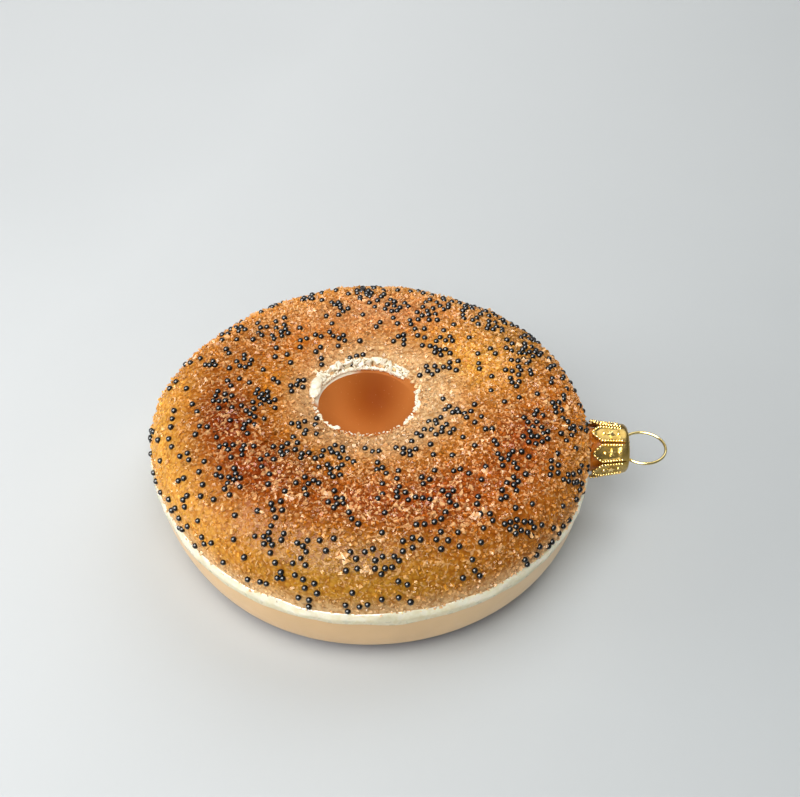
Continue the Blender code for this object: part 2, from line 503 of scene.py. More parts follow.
@dataclass(frozen=True)
class GoldFinish(Finish):
    """Gold plate, dulled a little in soft clouds. Colours run from 0 to 255."""

    colour: Rgb = (178, 152, 90)
    worn: Rgb = (160, 130, 58)
    roughness: float = 0.24
    dulled: float = 0.14
    cloud: float = 1.6 * MM
    worn_span: Span = (0.4, 0.68)
    dull_span: Span = (0.35, 0.7)
    dent: float = 0.5 * MM
    dent_depth: float = 0.02 * MM
    dent_strength: float = 0.5

    def lay_out(self, bench: NodeBench) -> None:
        """Lays out the material's nodes on its bench.

        Args:
            bench: The material's bench.
        """
        cloud = bench.noise(self.cloud, 4.0)
        colour = bench.mixed(bench.ranged(cloud, self.worn_span), solid(linear(self.colour)),
                             solid(linear(self.worn)))
        gloss = bench.ranged(cloud, self.dull_span,
                             (self.roughness, self.roughness + self.dulled))
        dents = bench.bump(bench.noise(self.dent), self.dent_depth, self.dent_strength)
        bench.setting(Base_Color=colour, Metallic=1.0, Roughness=gloss, Normal=dents)


@dataclass(frozen=True)
class ThickFinish(Finish):
    """Thick paint or paste, stained in soft clouds and uneven from the brush."""

    cloud: float
    cloud_detail: float
    stained_span: Span
    stained: Rgba
    grain: float
    grain_detail: float
    grain_depth: float
    grain_strength: float
    roughness: Span
    coat: float = 0.0
    coat_roughness: float = 0.12
    body: float = 0.0
    body_reach: float = 0.5 * MM
    clean: Rgba = (1.0, 1.0, 1.0, 1)

    def lay_out(self, bench: NodeBench) -> None:
        """Lays out the material's nodes on its bench.

        Args:
            bench: The material's bench.
        """
        cloud = bench.noise(self.cloud, self.cloud_detail)
        tone = bench.mixed(bench.ranged(cloud, self.stained_span), self.clean, self.stained)
        relief = bench.bump(bench.noise(self.grain, self.grain_detail), self.grain_depth,
                            self.grain_strength)
        bench.setting(Base_Color=bench.toned(bench.tint(), tone), Normal=relief,
                      Roughness=bench.ranged(cloud, NOISE, self.roughness),
                      Coat_Weight=self.coat, Coat_Roughness=self.coat_roughness,
                      Subsurface_Weight=self.body, Subsurface_Scale=self.body_reach)


CREAM_PAINT = ThickFinish("cream_paint", 1.2 * MM, 5.0, (0.38, 0.66), (0.9, 0.86, 0.72, 1),
                          0.3 * MM, 4.0, 0.03 * MM, 0.6, (0.22, 0.4), coat=0.3, body=0.15)
CRUMBLY_PASTE = ThickFinish("crumb_paste", 0.7 * MM, 4.0, (0.4, 0.7), (0.84, 0.77, 0.62, 1),
                            0.2 * MM, 3.0, 0.05 * MM, 0.5, (0.45, 0.75))


@dataclass(frozen=True)
class FloorFinish(Finish):
    """Plain pale matt floor, with painted shade that darkens it a little to the right."""

    name: str = "pale_floor"
    light: Rgba = (0.642, 0.671, 0.685, 1)
    shaded_tone: Rgba = (0.375, 0.404, 0.414, 1)
    fade: Span = (-90 * MM, 140 * MM)
    slant: float = 0.4
    waver: Span = (-12 * MM, 12 * MM)
    cloud: float = 80 * MM
    roughness: Span = (0.6, 0.75)

    def lay_out(self, bench: NodeBench) -> None:
        """Lays out the material's nodes on its bench.

        Args:
            bench: The material's bench.
        """
        cloud = bench.noise(self.cloud, 2.0)
        place = bench.add("ShaderNodeSeparateXYZ")
        bench.feed(bench.place, place.inputs[0])
        aside = bench.worked("MULTIPLY", place.outputs["Y"], self.slant)
        along = bench.worked("SUBTRACT", place.outputs["X"], aside)
        along = bench.worked("ADD", along, bench.ranged(cloud, NOISE, self.waver))
        # Painted shade: the floor darkens from its lit left towards the right.
        colour = bench.mixed(bench.ranged(along, self.fade), self.light, self.shaded_tone)
        bench.setting(Base_Color=colour, Roughness=bench.ranged(cloud, NOISE, self.roughness))


# ---- Hand tools ----


def clear_bench() -> None:
    """Goes back to object mode with nothing selected."""
    if bpy.context.mode != "OBJECT":
        bpy.ops.object.mode_set(mode="OBJECT")
    bpy.ops.object.select_all(action="DESELECT")


def take(obj: Piece) -> None:
    """Selects one object alone and makes it the active one.

    Args:
        obj: The object.
    """
    clear_bench()
    obj.select_set(True)
    bpy.context.view_layer.objects.active = obj


def settled(name: str) -> Piece:
    """Names the active object and puts its place, turn and scale into its mesh.

    Args:
        name: Its name from now on.

    Returns:
        The object.
    """
    clear_bench()
    obj = bpy.context.view_layer.objects.active
    obj.name = name
    obj.data.name = name
    obj.select_set(True)
    bpy.ops.object.transform_apply(location=True, rotation=True, scale=True)
    return obj


def opened(obj: Piece) -> None:
    """Opens a mesh in edit mode with all of it selected.

    Args:
        obj: The object.
    """
    take(obj)
    bpy.ops.object.mode_set(mode="EDIT")
    bpy.ops.mesh.select_all(action="SELECT")


class Part(Enum):
    """The parts of a mesh that can be picked."""

    POINTS = "vertices"
    FACES = "polygons"


def picked(obj: Piece, part: Part, numbers: Sequence[int]) -> None:
    """Opens a mesh in edit mode with only some of its points or faces selected.

    Args:
        obj: The object.
        part: Whether points or faces are picked.
        numbers: Their numbers.
    """
    take(obj)
    bpy.ops.object.mode_set(mode="EDIT")
    bpy.ops.mesh.select_mode(type="VERT")
    bpy.ops.mesh.select_all(action="DESELECT")
    bpy.ops.object.mode_set(mode="OBJECT")
    for number in numbers:
        getattr(obj.data, part.value)[number].select = True
    bpy.ops.object.mode_set(mode="EDIT")


def applied(obj: Piece, kind: str, **settings: object) -> None:
    """Adds a modifier and applies it.

    Args:
        obj: The object to change.
        kind: The modifier's type.
        **settings: The modifier's own properties.
    """
    take(obj)
    modifier = obj.modifiers.new(kind.title(), kind)
    for key, value in settings.items():
        setattr(modifier, key, value)
    bpy.ops.object.modifier_apply(modifier=modifier.name)


def turned(name: str, outline: Sequence[Vector], middle: Vector, axis: Vector,
           steps: int) -> Piece:
    """Spins an outline into a round shape.

    Args:
        name: The new object's name.
        outline: The outline's points, from one end of the axis to the other.
        middle: A point on the axis.
        axis: The axis.
        steps: How many steps make the full turn.

    Returns:
        The new object, closed and smooth.
    """
    clear_bench()
    bpy.ops.mesh.primitive_plane_add(size=MM, location=outline[0])
    bpy.ops.object.mode_set(mode="EDIT")
    bpy.ops.mesh.merge(type="CENTER")
    for start, end in zip(outline, outline[1:]):
        bpy.ops.mesh.extrude_vertices_move(TRANSFORM_OT_translate={"value": end - start})
    bpy.ops.mesh.select_all(action="SELECT")
    bpy.ops.mesh.spin(steps=steps, angle=FULL_TURN, center=middle, axis=axis)
    bpy.ops.mesh.select_all(action="SELECT")
    bpy.ops.mesh.remove_doubles(threshold=WELD)
    bpy.ops.mesh.normals_make_consistent(inside=False)
    bpy.ops.mesh.faces_shade_smooth()
    return settled(name)


def points_of(obj: Piece) -> Array:
    """Returns a mesh's points, one a row.

    Args:
        obj: The object.

    Returns:
        The points, one a row.
    """
    flat = np.empty(len(obj.data.vertices) * 3, np.float32)
    obj.data.vertices.foreach_get("co", flat)
    return flat.reshape(-1, 3).astype(float)


def move_points(obj: Piece, points: Array) -> None:
    """Puts a mesh's points in new places."""
    obj.data.vertices.foreach_set("co", points.astype(np.float32).ravel())
    obj.data.update()


def hollows(obj: Piece, rounds: int) -> Array:
    """Measures how far each point lies below the smoothed surface around it.

    Args:
        obj: The piece.
        rounds: How many times the surface is smoothed.

    Returns:
        The depths, which are below 0 where the surface stands out.
    """
    points = points_of(obj)
    ends = np.empty(len(obj.data.edges) * 2, np.int32)
    obj.data.edges.foreach_get("vertices", ends)
    ends = ends.reshape(-1, 2)
    near, far = np.concatenate([ends, ends[:, ::-1]]).T
    count = np.bincount(near, minlength=len(points))[:, None]
    smooth = points
    for _ in range(rounds):
        sums = [np.bincount(near, smooth[far, i], len(points)) for i in range(3)]
        smooth = np.stack(sums, 1) / count
    outward = np.empty(len(points) * 3, np.float32)
    obj.data.vertex_normals.foreach_get("vector", outward)
    return ((smooth - points) * outward.reshape(-1, 3)).sum(1)


def paint_points(obj: Piece, colours: Array, sugar: Array | float = 0.0) -> None:
    """Gives each point of a mesh its own linear colour.

    Args:
        obj: The piece.
        colours: The points' colours, one a row.
        sugar: How sugary each point is, from 0 to 1.
    """
    layer = obj.data.color_attributes.new(TINT, "FLOAT_COLOR", "POINT")
    values = np.ones((len(colours), 4), np.float32)
    values[:, :3] = np.clip(colours, 0.0, 1.0)
    values[:, 3] = np.clip(sugar, 0.0, 1.0)
    layer.data.foreach_set("color", values.ravel())


def dress(obj: Piece, *finishes: bpy.types.Material) -> None:
    """Replaces an object's materials.

    Args:
        obj: The object.
        *finishes: Its new materials, in order.
    """
    obj.data.materials.clear()
    for finish in finishes:
        obj.data.materials.append(finish)


def hand_over(obj: Piece, slot: str, *nodes: str) -> None:
    """Makes a finished piece ride with the part.

    Args:
        obj: The piece.
        slot: The name of the piece's material slot; not used.
        *nodes: The solids that it stands for.
    """
    if nodes:
        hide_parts(*nodes)
    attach(obj, "root")
    obj.data.calc_loop_triangles()
    log.info("%s: %d triangles", obj.name, len(obj.data.loop_triangles))


def joined(name: str, objects: Sequence[Piece]) -> Piece:
    """Joins objects into the first of them.

    Args:
        name: The name of the result.
        objects: The objects to join.

    Returns:
        The one object that is left.
    """
    clear_bench()
    for obj in objects:
        obj.select_set(True)
    bpy.context.view_layer.objects.active = objects[0]
    bpy.ops.object.join()
    return settled(name)


# ---- The body's shape ----


@dataclass(frozen=True)
class Swell:
    """A place where the hand-shaped outline stands out of its circle."""

    direction: float
    spread: float
    height: float


@dataclass(frozen=True)
class BodyShape:
    """The blown body's form, measured from its middle at the height of its equator."""

    radius: float = 40.0 * MM
    top_height: float = 12.2 * MM
    base_depth: float = 15.2 * MM
    coat: float = 0.62 * MM
    petal_tip: float = 40.2 * MM
    crown_radius: float = 23.0 * MM
    top_rounding: float = 2.5
    base_radius: float = 30.0 * MM
    base_rounding: float = 2.4
    flat_inner: float = 21.0 * MM
    lip_radius: float = 9.4 * MM
    lip_drop: float = 1.8 * MM
    under_lip_rise: float = 1.4 * MM
    dimple_radius: float = 8.6 * MM
    dimple_step: float = 0.9 * MM
    under_dimple_step: float = 0.4 * MM
    dimple_depth: float = 5.6 * MM
    dimple_power: float = 2.2
    edge: float = 0.05 * MM
    dimple_shift: Span = (-0.7 * MM, 1.5 * MM)
    seam: float = 1.2 * MM
    side_share: float = 0.6
    heel_share: float = 0.62
    crust_steps: int = 48
    seam_steps: int = 4
    side_steps: int = 12
    heel_steps: int = 24
    hollow_steps: int = 12
    dimple_steps: int = 20
    under_dimple_steps: int = 16
    lump_top: float = 6 * MM
    lump_clear: float = 4 * MM
    swells: tuple[Swell, ...] = (
        Swell(43.0, 22.0, 0.55 * MM),
        Swell(61.0, 6.0, -0.60 * MM),
        Swell(90.0, 14.0, 0.45 * MM),
        Swell(130.0, 18.0, -0.35 * MM),
        Swell(168.0, 15.0, 1.00 * MM),
        Swell(214.0, 18.0, -0.85 * MM),
    )

    @property
    def middle(self) -> Vector:
        """The body's middle in the part's own frame, at the height of its equator."""
        return Vector((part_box("crown_cap")[0].x - self.petal_tip, 0.0, self.base_depth))

    @property
    def origin(self) -> Array:
        """The body's middle as an array, to be added to points measured from it."""
        return np.array(self.middle)

    @property
    def lip_height(self) -> float:
        """The upper dimple's lip, above the equator."""
        return self.top_height - self.coat - self.lip_drop

    def dimple_away(self, points: Array) -> Array:
        """Returns how far points are from the upper dimple's axis."""
        return np.hypot(points[:, 0] - self.dimple_shift[0],
                        points[:, 1] - self.dimple_shift[1])

    def crust(self, count: int) -> Outline:
        """Returns (radius, height) points of the crust, from the dimple's lip to the seam.

        Args:
            count: How many steps the rounded part has.

        Returns:
            The points.
        """
        crown = self.top_height - self.coat
        rim = self.radius - self.coat
        points = []
        for i in range(count // 3):
            share = i / (count // 3)
            ease = math.sin(math.pi / 2 * share)
            across = self.lip_radius + (self.crown_radius - self.lip_radius) * share
            points.append((across, self.lip_height + self.lip_drop * ease))
        for i in range(count + 1):
            turn = math.pi / 2 * i / count
            across = (rim - self.crown_radius) * math.sin(turn) ** (2 / self.top_rounding)
            points.append((self.crown_radius + across,
                           crown * math.cos(turn) ** (2 / self.top_rounding)))
        points += self.side(0.0, self.seam, self.seam_steps)[1:]
        return points

    def side_radii(self, depths: Array) -> Array:
        """Returns the side's radii at depths below the equator.

        Args:
            depths: The depths, in metres.

        Returns:
            The radii.
        """
        shares = 1 - (np.asarray(depths) / self.base_depth) ** self.base_rounding
        across = self.radius - self.coat - self.base_radius
        return self.base_radius + across * shares.clip(0.0, 1.0) ** (1 / self.base_rounding)

    def side(self, start: float, end: float, count: int) -> Outline:
        """Returns (radius, height) points of the side between two depths."""
        depths = [start + (end - start) * i / count for i in range(count + 1)]
        return [(float(self.side_radii(depth)), -depth) for depth in depths]

    def dimple(self, rim: float, count: int) -> Outline:
        """Returns (radius, height) points from the middle of a dimple to its rim.

        Args:
            rim: The rim's height.
            count: How many steps it has.

        Returns:
            The points.
        """
        points = []
        for i in range(count + 1):
            share = i / count
            rise = self.dimple_depth * share**self.dimple_power
            points.append((self.dimple_radius * share, rim - self.dimple_depth + rise))
        return points

    def underside(self) -> Outline:
        """Returns (radius, height) points of the underside, from its edge to its middle.

        Returns:
            The points.
        """
        lip = self.base_depth - self.under_lip_rise
        points = []
        for i in range(self.heel_steps + 1):
            turn = math.pi / 2 * i / self.heel_steps
            depth = self.base_depth * math.sin(turn) ** (2 / self.base_rounding)
            if depth > self.heel_share * self.base_depth:
                points.append((float(self.side_radii(depth)), -depth))
        points.append((self.flat_inner, -self.base_depth))
        for i in range(1, self.hollow_steps):
            share = i / self.hollow_steps
            rise = self.under_lip_rise * (1 - math.cos(math.pi / 2 * share))
            across = self.flat_inner + (self.lip_radius - self.flat_inner) * share
            points.append((across, -self.base_depth + rise))
        under = self.dimple(lip - self.under_dimple_step, self.under_dimple_steps)
        points.append((self.lip_radius, -lip))
        points += [(across, -depth) for across, depth in reversed(under)]
        return points

    def profile(self) -> Outline:
        """Returns the whole profile from the top of the axis to its bottom.

        Returns:
            The (radius, height) points.
        """
        rim = self.lip_height - self.dimple_step
        points = self.dimple(rim, self.dimple_steps)
        points.append((self.dimple_radius + self.edge, rim + self.edge))
        points += self.crust(self.crust_steps)
        points += self.side(self.seam, self.side_share * self.base_depth, self.side_steps)[1:]
        points += self.underside()
        return points

    def outline_offset(self, direction: Array) -> Array:
        """Returns how far the outline stands out of its circle in each direction.

        Args:
            direction: The directions, in radians.

        Returns:
            The offsets, in metres.
        """
        total = np.zeros_like(direction)
        for swell in self.swells:
            away = (np.degrees(direction) - swell.direction + 180) % 360 - 180
            total += swell.height * np.exp(-0.5 * (away / swell.spread) ** 2)
        return total

    def lumps(self, across: Array, along: Array) -> Array:
        """Returns the gentle rise and fall of the blown crust, in metres.

        The waves' heights are in mm, and their numbers count radians for each mm.

        Args:
            across: The places along X.
            along: The places along Y.

        Returns:
            The rises.
        """
        x, y = across / MM, along / MM
        waves = 0.11 * np.sin(0.33 * x + 1.1) * np.cos(0.27 * y - 0.5) - 0.05
        waves += 0.07 * np.sin(0.55 * x - 0.48 * y + 2.0)
        waves += 0.05 * np.cos(0.75 * y + 0.31 * x - 1.0)
        return waves * MM

    def warped(self, points: Array) -> Array:
        """Gives points of the round body their hand-made unevenness.

        Args:
            points: Points measured from the body's middle, one a row.

        Returns:
            The moved points.
        """
        result = points.copy()
        radius = np.hypot(points[:, 0], points[:, 1])
        direction = np.arctan2(points[:, 1], points[:, 0])
        share = np.clip((radius - self.crown_radius) / (self.radius - self.crown_radius), 0, 1)
        grow = 1 + self.outline_offset(direction) * share / np.maximum(radius, MM)
        result[:, :2] *= grow[:, None]
        top = eased(points[:, 2], 0.0, self.lump_top)
        clear = eased(radius, self.lip_radius, self.lip_radius + self.lump_clear)
        result[:, 2] += self.lumps(points[:, 0], points[:, 1]) * top * clear
        hold = 1 - eased(radius, self.lip_radius, self.crown_radius)
        hold *= points[:, 2] > 0
        result[:, 0] += self.dimple_shift[0] * hold
        result[:, 1] += self.dimple_shift[1] * hold
        return result


class CrustMap:
    """Finds points on the crust by direction and by the way down from the dimple's lip."""

    def __init__(self, shape: BodyShape) -> None:
        """Measures the crust's profile, twice as finely as the body's mesh has it.

        Args:
            shape: The body's shape.
        """
        self.shape = shape
        self.profile = np.array(shape.crust(2 * shape.crust_steps))
        steps = np.diff(self.profile, axis=0)
        lengths = np.hypot(steps[:, 0], steps[:, 1])
        self.way = np.concatenate([[0.0], np.cumsum(lengths)])
        slopes = np.gradient(self.profile, self.way, axis=0)
        self.normals = np.stack([-slopes[:, 1], slopes[:, 0]], 1)

    @property
    def length(self) -> float:
        """The way from the lip to the seam."""
        return float(self.way[-1])

    def radius_at(self, way: Array) -> Array:
        """Returns the radius at each way down."""
        return np.interp(way, self.way, self.profile[:, 0])

    def way_at(self, radius: float) -> float:
        """Returns the way down at which the upper crust has a radius."""
        widest = int(self.profile[:, 0].argmax())
        return float(np.interp(radius, self.profile[:widest, 0], self.way[:widest]))

    def place(self, direction: Array, way: Array) -> tuple[Array, Array]:
        """Finds points on the crust.

        Args:
            direction: The points' directions, in radians.
            way: Their ways down from the lip, in metres.

        Returns:
            The points measured from the body's middle, and their outward directions.
        """
        cosine, sine = np.cos(direction), np.sin(direction)
        radius = self.radius_at(way)
        height = np.interp(way, self.way, self.profile[:, 1])
        points = np.stack([radius * cosine, radius * sine, height], 1)
        out = np.interp(way, self.way, self.normals[:, 0])
        up = np.interp(way, self.way, self.normals[:, 1])
        outward = np.stack([out * cosine, out * sine, up], 1)
        outward /= np.linalg.norm(outward, axis=1, keepdims=True)
        return self.shape.warped(points), outward

    def sown(self, rng: np.random.Generator, count: int) -> tuple[Array, Array]:
        """Returns (direction, way) of points strewn evenly over the crust.

        Args:
            rng: The source of chance.
            count: The most points wanted.

        Returns:
            The points' directions, and their ways down.
        """
        way = rng.uniform(0.0, self.length, count * 2)
        chance = self.radius_at(way) / self.shape.radius
        way = way[rng.random(len(way)) < chance][:count]
        return rng.uniform(0.0, FULL_TURN, len(way)), way


# ---- Paint ----


@dataclass(frozen=True)
class Drift:
    """A soft round place on the crust: direction in degrees, radius and spread in mm."""

    direction: float
    radius: float
    spread: float
    amount: float
    stretch: float = 1.0

    def weight(self, points: Array) -> Array:
        """Returns how strongly the place covers points, from 0 to its amount.

        Args:
            points: Points from the body's middle.

        Returns:
            The weights.
        """
        turn = math.radians(self.direction)
        x, y = points[:, 0] / MM, points[:, 1] / MM
        out = x * math.cos(turn) + y * math.sin(turn) - self.radius
        along = (-x * math.sin(turn) + y * math.cos(turn)) / self.stretch
        return self.amount * np.exp(-0.5 * (out**2 + along**2) / self.spread**2)


def facing(points: Array, direction: float) -> Array:
    """Returns 1 for points in a direction, in degrees, down to -1 on the far side."""
    turns = np.arctan2(points[:, 1], points[:, 0])
    return np.cos(turns - math.radians(direction))


@dataclass(frozen=True)
class CrustPaint:
    """The airbrush work on the crust, pass after pass.

    The beige edge is highest and strongest at the front. The bare ring round the dimple
    reaches furthest at bare_front; painted shade makes it darker and sandier on one side.
    """

    passes: tuple[tuple[Paint, Drift], ...] = (
        (Paint.HONEY, Drift(205, 37, 7, 0.9, 2.2)),
        (Paint.HONEY, Drift(178, 37, 5, 0.8, 1.5)),
        (Paint.OLIVE, Drift(266, 36, 5, 0.8, 3.2)),
        (Paint.UMBER, Drift(318, 36, 5, 0.7, 2.5)),
        (Paint.UMBER, Drift(30, 33, 6, 0.75, 2.6)),
        (Paint.UMBER, Drift(80, 36, 5, 0.6, 2.2)),
        (Paint.ORANGE, Drift(80, 25, 5, 0.85, 1.8)),
        (Paint.HONEY, Drift(25, 21, 5, 0.55, 1.3)),
        (Paint.BEIGE, Drift(95, 24, 5, 0.35, 2.4)),
        (Paint.ORANGE, Drift(5, 34, 4, 0.5, 1.5)),
        (Paint.ROSE, Drift(143, 27, 5, 0.85, 1.6)),
        (Paint.ORANGE, Drift(125, 20, 4, 0.6, 1.6)),
        (Paint.TOAST, Drift(190, 26, 6, 0.95, 1.7)),
        (Paint.CHESTNUT, Drift(186, 25, 3, 0.5, 1.5)),
        (Paint.TOAST, Drift(222, 26, 6, 0.9, 1.4)),
        (Paint.CHESTNUT, Drift(232, 20, 4, 0.45, 1.4)),
        (Paint.TOAST, Drift(268, 25, 5.5, 0.85, 2.0)),
        (Paint.TOAST, Drift(300, 27, 5.5, 0.85, 1.6)),
        (Paint.TOAST, Drift(338, 28, 5.5, 0.9, 1.6)),
        (Paint.ROSE, Drift(352, 20, 4, 0.5, 1.4)),
        (Paint.ROSE, Drift(290, 17, 4, 0.5, 1.8)),
        (Paint.ORANGE, Drift(315, 33, 4, 0.5, 2.0)),
    )
    thick: tuple[Drift, ...] = (
        Drift(5, 27, 6, 0.9, 1.6), Drift(50, 30, 6, 0.9, 2.0), Drift(95, 30, 6, 0.9, 2.0),
        Drift(135, 28, 5, 0.7, 1.8), Drift(262, 22, 4.5, 1.0, 2.2),
        Drift(292, 25, 4.5, 0.9, 1.6), Drift(325, 25, 5, 1.0, 1.8),
        Drift(235, 22, 4, 0.6, 1.5), Drift(186, 25, 3.5, 0.5, 2.0),
        Drift(355, 35, 3, 0.5, 2.5), Drift(310, 34, 3, 0.3, 2.5),
        Drift(262, 32, 3, 0.35, 2.5), Drift(0, 0, 12, 0.5),
    )
    front: float = 245.0
    edge_foot: float = -0.9 * MM
    edge_reach: float = 2.6 * MM
    edge_rise: Span = (0.7, 0.7)
    edge_share: Span = (0.58, 0.34)
    bare_until: float = 11.5 * MM
    bare_end: float = 19.0 * MM
    bare_front: float = 50.0
    bare_swing: float = 1.5 * MM
    ring_shade_side: float = 220.0
    bare_share: float = 0.92

    def sugar(self, points: Array) -> Array:
        """Returns how thickly the coarse glass lies at points, from 0 to 1."""
        return np.clip(sum(drift.weight(points) for drift in self.thick), 0.0, 1.0)

    def tint(self, points: Array) -> Array:
        """Returns the crust's linear colour at points measured from the body's middle.

        Args:
            points: Points from the body's middle.

        Returns:
            The painted colours.
        """
        count = len(points)
        colours = coated(Paint.GOLDEN, count)
        for colour, drift in self.passes:
            colours = blended(colours, colour.linear, drift.weight(points))
        near_front = 0.5 + 0.5 * facing(points, self.front)
        height = points[:, 2] / (self.edge_rise[0] + self.edge_rise[1] * near_front)
        edge = 1 - eased(height, self.edge_foot, self.edge_reach)
        edge = (self.edge_share[0] + self.edge_share[1] * near_front) * edge
        colours = blended(colours, Paint.BEIGE.linear, edge)
        reach = self.bare_end + self.bare_swing * facing(points, self.bare_front)
        radius = np.hypot(points[:, 0], points[:, 1])
        bare = 1 - eased(radius / reach, self.bare_until / self.bare_end, 1.0)
        # Painted shade: the bare ring turns darker and sandier on one side.
        ring_shade = 0.5 + 0.5 * facing(points, self.ring_shade_side)
        ring = blended(coated(Paint.BEIGE, count), Paint.SAND.linear, ring_shade)
        return blended(colours, ring, self.bare_share * bare)


# ---- The body ----


class Zone(Enum):
    """The differently finished zones of the body."""

    CRUST = 0
    SIDE = 1
    DIMPLE = 2
    BASE = 3
    NECK = 4


@dataclass
class BlownBody:
    """The glass body with its neck."""

    shape: BodyShape
    paint: CrustPaint
    steps: int = 288
    neck_steps: int = 96
    neck_radius: float = 3.95 * MM
    neck_bore: float = 3.4 * MM
    neck_gap: float = 0.73 * MM
    shoulder: float = 1.4 * MM
    flare_length: float = 3.0 * MM
    flare: float = 1.0 * MM
    neck_edge: float = 0.2 * MM
    neck_floor: float = 1.0 * MM
    flare_steps: int = 8
    root: float = 6.2 * MM
    base_edge: float = 12.6 * MM
    base_fade: Span = (-1.9 * MM, 0.4 * MM)
    side_fade: Span = (-0.3 * MM, 0.1 * MM)
    side_shade_front: float = 252.0
    side_shade_power: float = 1.5
    warm_span: Span = (12 * MM, 28 * MM)
    warm_share: float = 0.8
    lip_fade: float = 0.6 * MM
    creamy_from: Span = (96.0, 112.0)
    creamy_to: Span = (166.0, 178.0)
    shade_core: Span = (1.5 * MM, 5.6 * MM)
    shade_core_fade: Span = (0.5 * MM, 8.0 * MM)
    neck_start: float = 0.35 * MM
    neck_fade: Span = (-0.6 * MM, 0.1 * MM)

    def build(self) -> None:
        """Makes the body, joins its neck and paints it."""
        middle = self.shape.middle
        outline = [middle + Vector((across, 0.0, height))
                   for across, height in self.shape.profile()]
        body = turned("bagel_body", outline, middle, Vector((0, 0, 1)), self.steps)
        points = points_of(body) - self.shape.origin
        move_points(body, self.shape.warped(points) + self.shape.origin)
        neck = self.neck()
        applied(body, "BOOLEAN", operation="UNION", solver="EXACT", object=neck)
        bpy.data.objects.remove(neck, do_unlink=True)
        self.finish(body)
        hand_over(body, "painted_glass", "glass_body")

    def neck(self) -> Piece:
        """Makes the neck with its open bore, along +X.

        Returns:
            The neck, still apart from the body.
        """
        low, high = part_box("crown_cap")
        axis = Vector((0.0, 0.0, (low.z + high.z) / 2))
        end = high.x - self.neck_gap
        floor = low.x - self.neck_floor
        edge = self.neck_edge
        outline = [(floor, 0.0), (floor, self.neck_bore), (end - edge, self.neck_bore),
                   (end, self.neck_bore + edge), (end, self.neck_radius - edge),
                   (end - edge, self.neck_radius)]
        for i in range(self.flare_steps + 1):
            share = i / self.flare_steps
            outline.append((low.x + self.shoulder - self.flare_length * share,
                            self.neck_radius + self.flare * share**2))
        outline += [(low.x - self.root, self.neck_radius + self.flare),
                    (low.x - self.root, 0.0)]
        points = [axis + Vector((along, 0.0, across)) for along, across in outline]
        return turned("neck", points, axis, Vector((1, 0, 0)), self.neck_steps)

    def finish(self, body: Piece) -> None:
        """Divides the body into zones, paints each and gives it its material.

        Args:
            body: The body, joined to its neck.
        """
        dress(body, CrustFinish().make(), SatinFinish("peach_side").make(),
              SatinFinish("brown_dimple", roughness=0.6, coat=0.0, shine=0.02,
                          speck_share=0.25).make(),
              SatinFinish("toasted_base", roughness=0.4).make(),
              SatinFinish("amber_neck", roughness=0.22, coat=0.4).make())
        centres = np.empty(len(body.data.polygons) * 3, np.float32)
        body.data.polygons.foreach_get("center", centres)
        centres = centres.reshape(-1, 3).astype(float) - self.shape.origin
        zones = self.zones(centres).astype(np.int32)
        body.data.polygons.foreach_set("material_index", zones)
        points = points_of(body) - self.shape.origin
        paint_points(body, self.tint(points), self.paint.sugar(points))
        body.data.update()

    def zones(self, points: Array) -> Array:
        """Returns the number of the zone that each point is in.

        Args:
            points: Points from the body's middle.

        Returns:
            The zones' numbers.
        """
        away = self.shape.dimple_away(points)
        upper = points[:, 2] > 0
        zones = np.where(points[:, 2] < -self.shape.seam, Zone.SIDE.value, Zone.CRUST.value)
        zones[points[:, 2] < -self.base_edge] = Zone.BASE.value
        zones[upper & (away < self.shape.lip_radius)] = Zone.DIMPLE.value
        below = ~upper & (np.hypot(points[:, 0], points[:, 1]) < self.shape.dimple_radius)
        zones[below] = Zone.DIMPLE.value
        zones[points[:, 0] > self.shape.radius + self.neck_start] = Zone.NECK.value
        return zones

    def tint(self, points: Array) -> Array:
        """Returns the body's linear colour at points measured from its middle.

        Args:
            points: Points from the body's middle.

        Returns:
            The painted colours.
        """
        colours = self.with_side(self.paint.tint(points), points)
        colours = self.with_base(colours, points)
        colours = self.with_lip(colours, points)
        colours = self.with_bowl(colours, points)
        start, end = self.neck_fade
        neck = eased(points[:, 0], self.shape.radius + start, self.shape.radius + end)
        return blended(colours, Paint.AMBER.linear, neck)

    def with_side(self, colours: Array, points: Array) -> Array:
        """Adds the peach side, with painted shade that darkens it towards the front.

        Args:
            colours: The colours so far.
            points: Points from the body's middle.

        Returns:
            The painted colours.
        """
        start, end = self.side_fade
        below = 1 - eased(points[:, 2], start - self.shape.seam, end - self.shape.seam)
        # Painted shade: the side is darkened towards the front.
        front = (0.5 + 0.5 * facing(points, self.side_shade_front)) ** self.side_shade_power
        side = blended(coated(Paint.PEACH, len(points)), Paint.APRICOT.linear, front)
        return blended(colours, side, below)

    def with_base(self, colours: Array, points: Array) -> Array:
        """Adds the toasted underside, which is warmer towards its middle.

        Args:
            colours: The colours so far.
            points: Points from the body's middle.

        Returns:
            The painted colours.
        """
        radius = np.hypot(points[:, 0], points[:, 1])
        height = points[:, 2]
        start, end = self.base_fade
        base = 1 - eased(height, start - self.base_edge, end - self.base_edge)
        beneath = (height < 0) & (radius < self.shape.flat_inner)
        base = np.where(beneath, 1.0, base)
        warm = self.warm_share * (1 - eased(radius, *self.warm_span))
        toasted = blended(coated(Paint.RUST, len(points)), Paint.TOAST.linear, warm)
        return blended(colours, toasted, base)

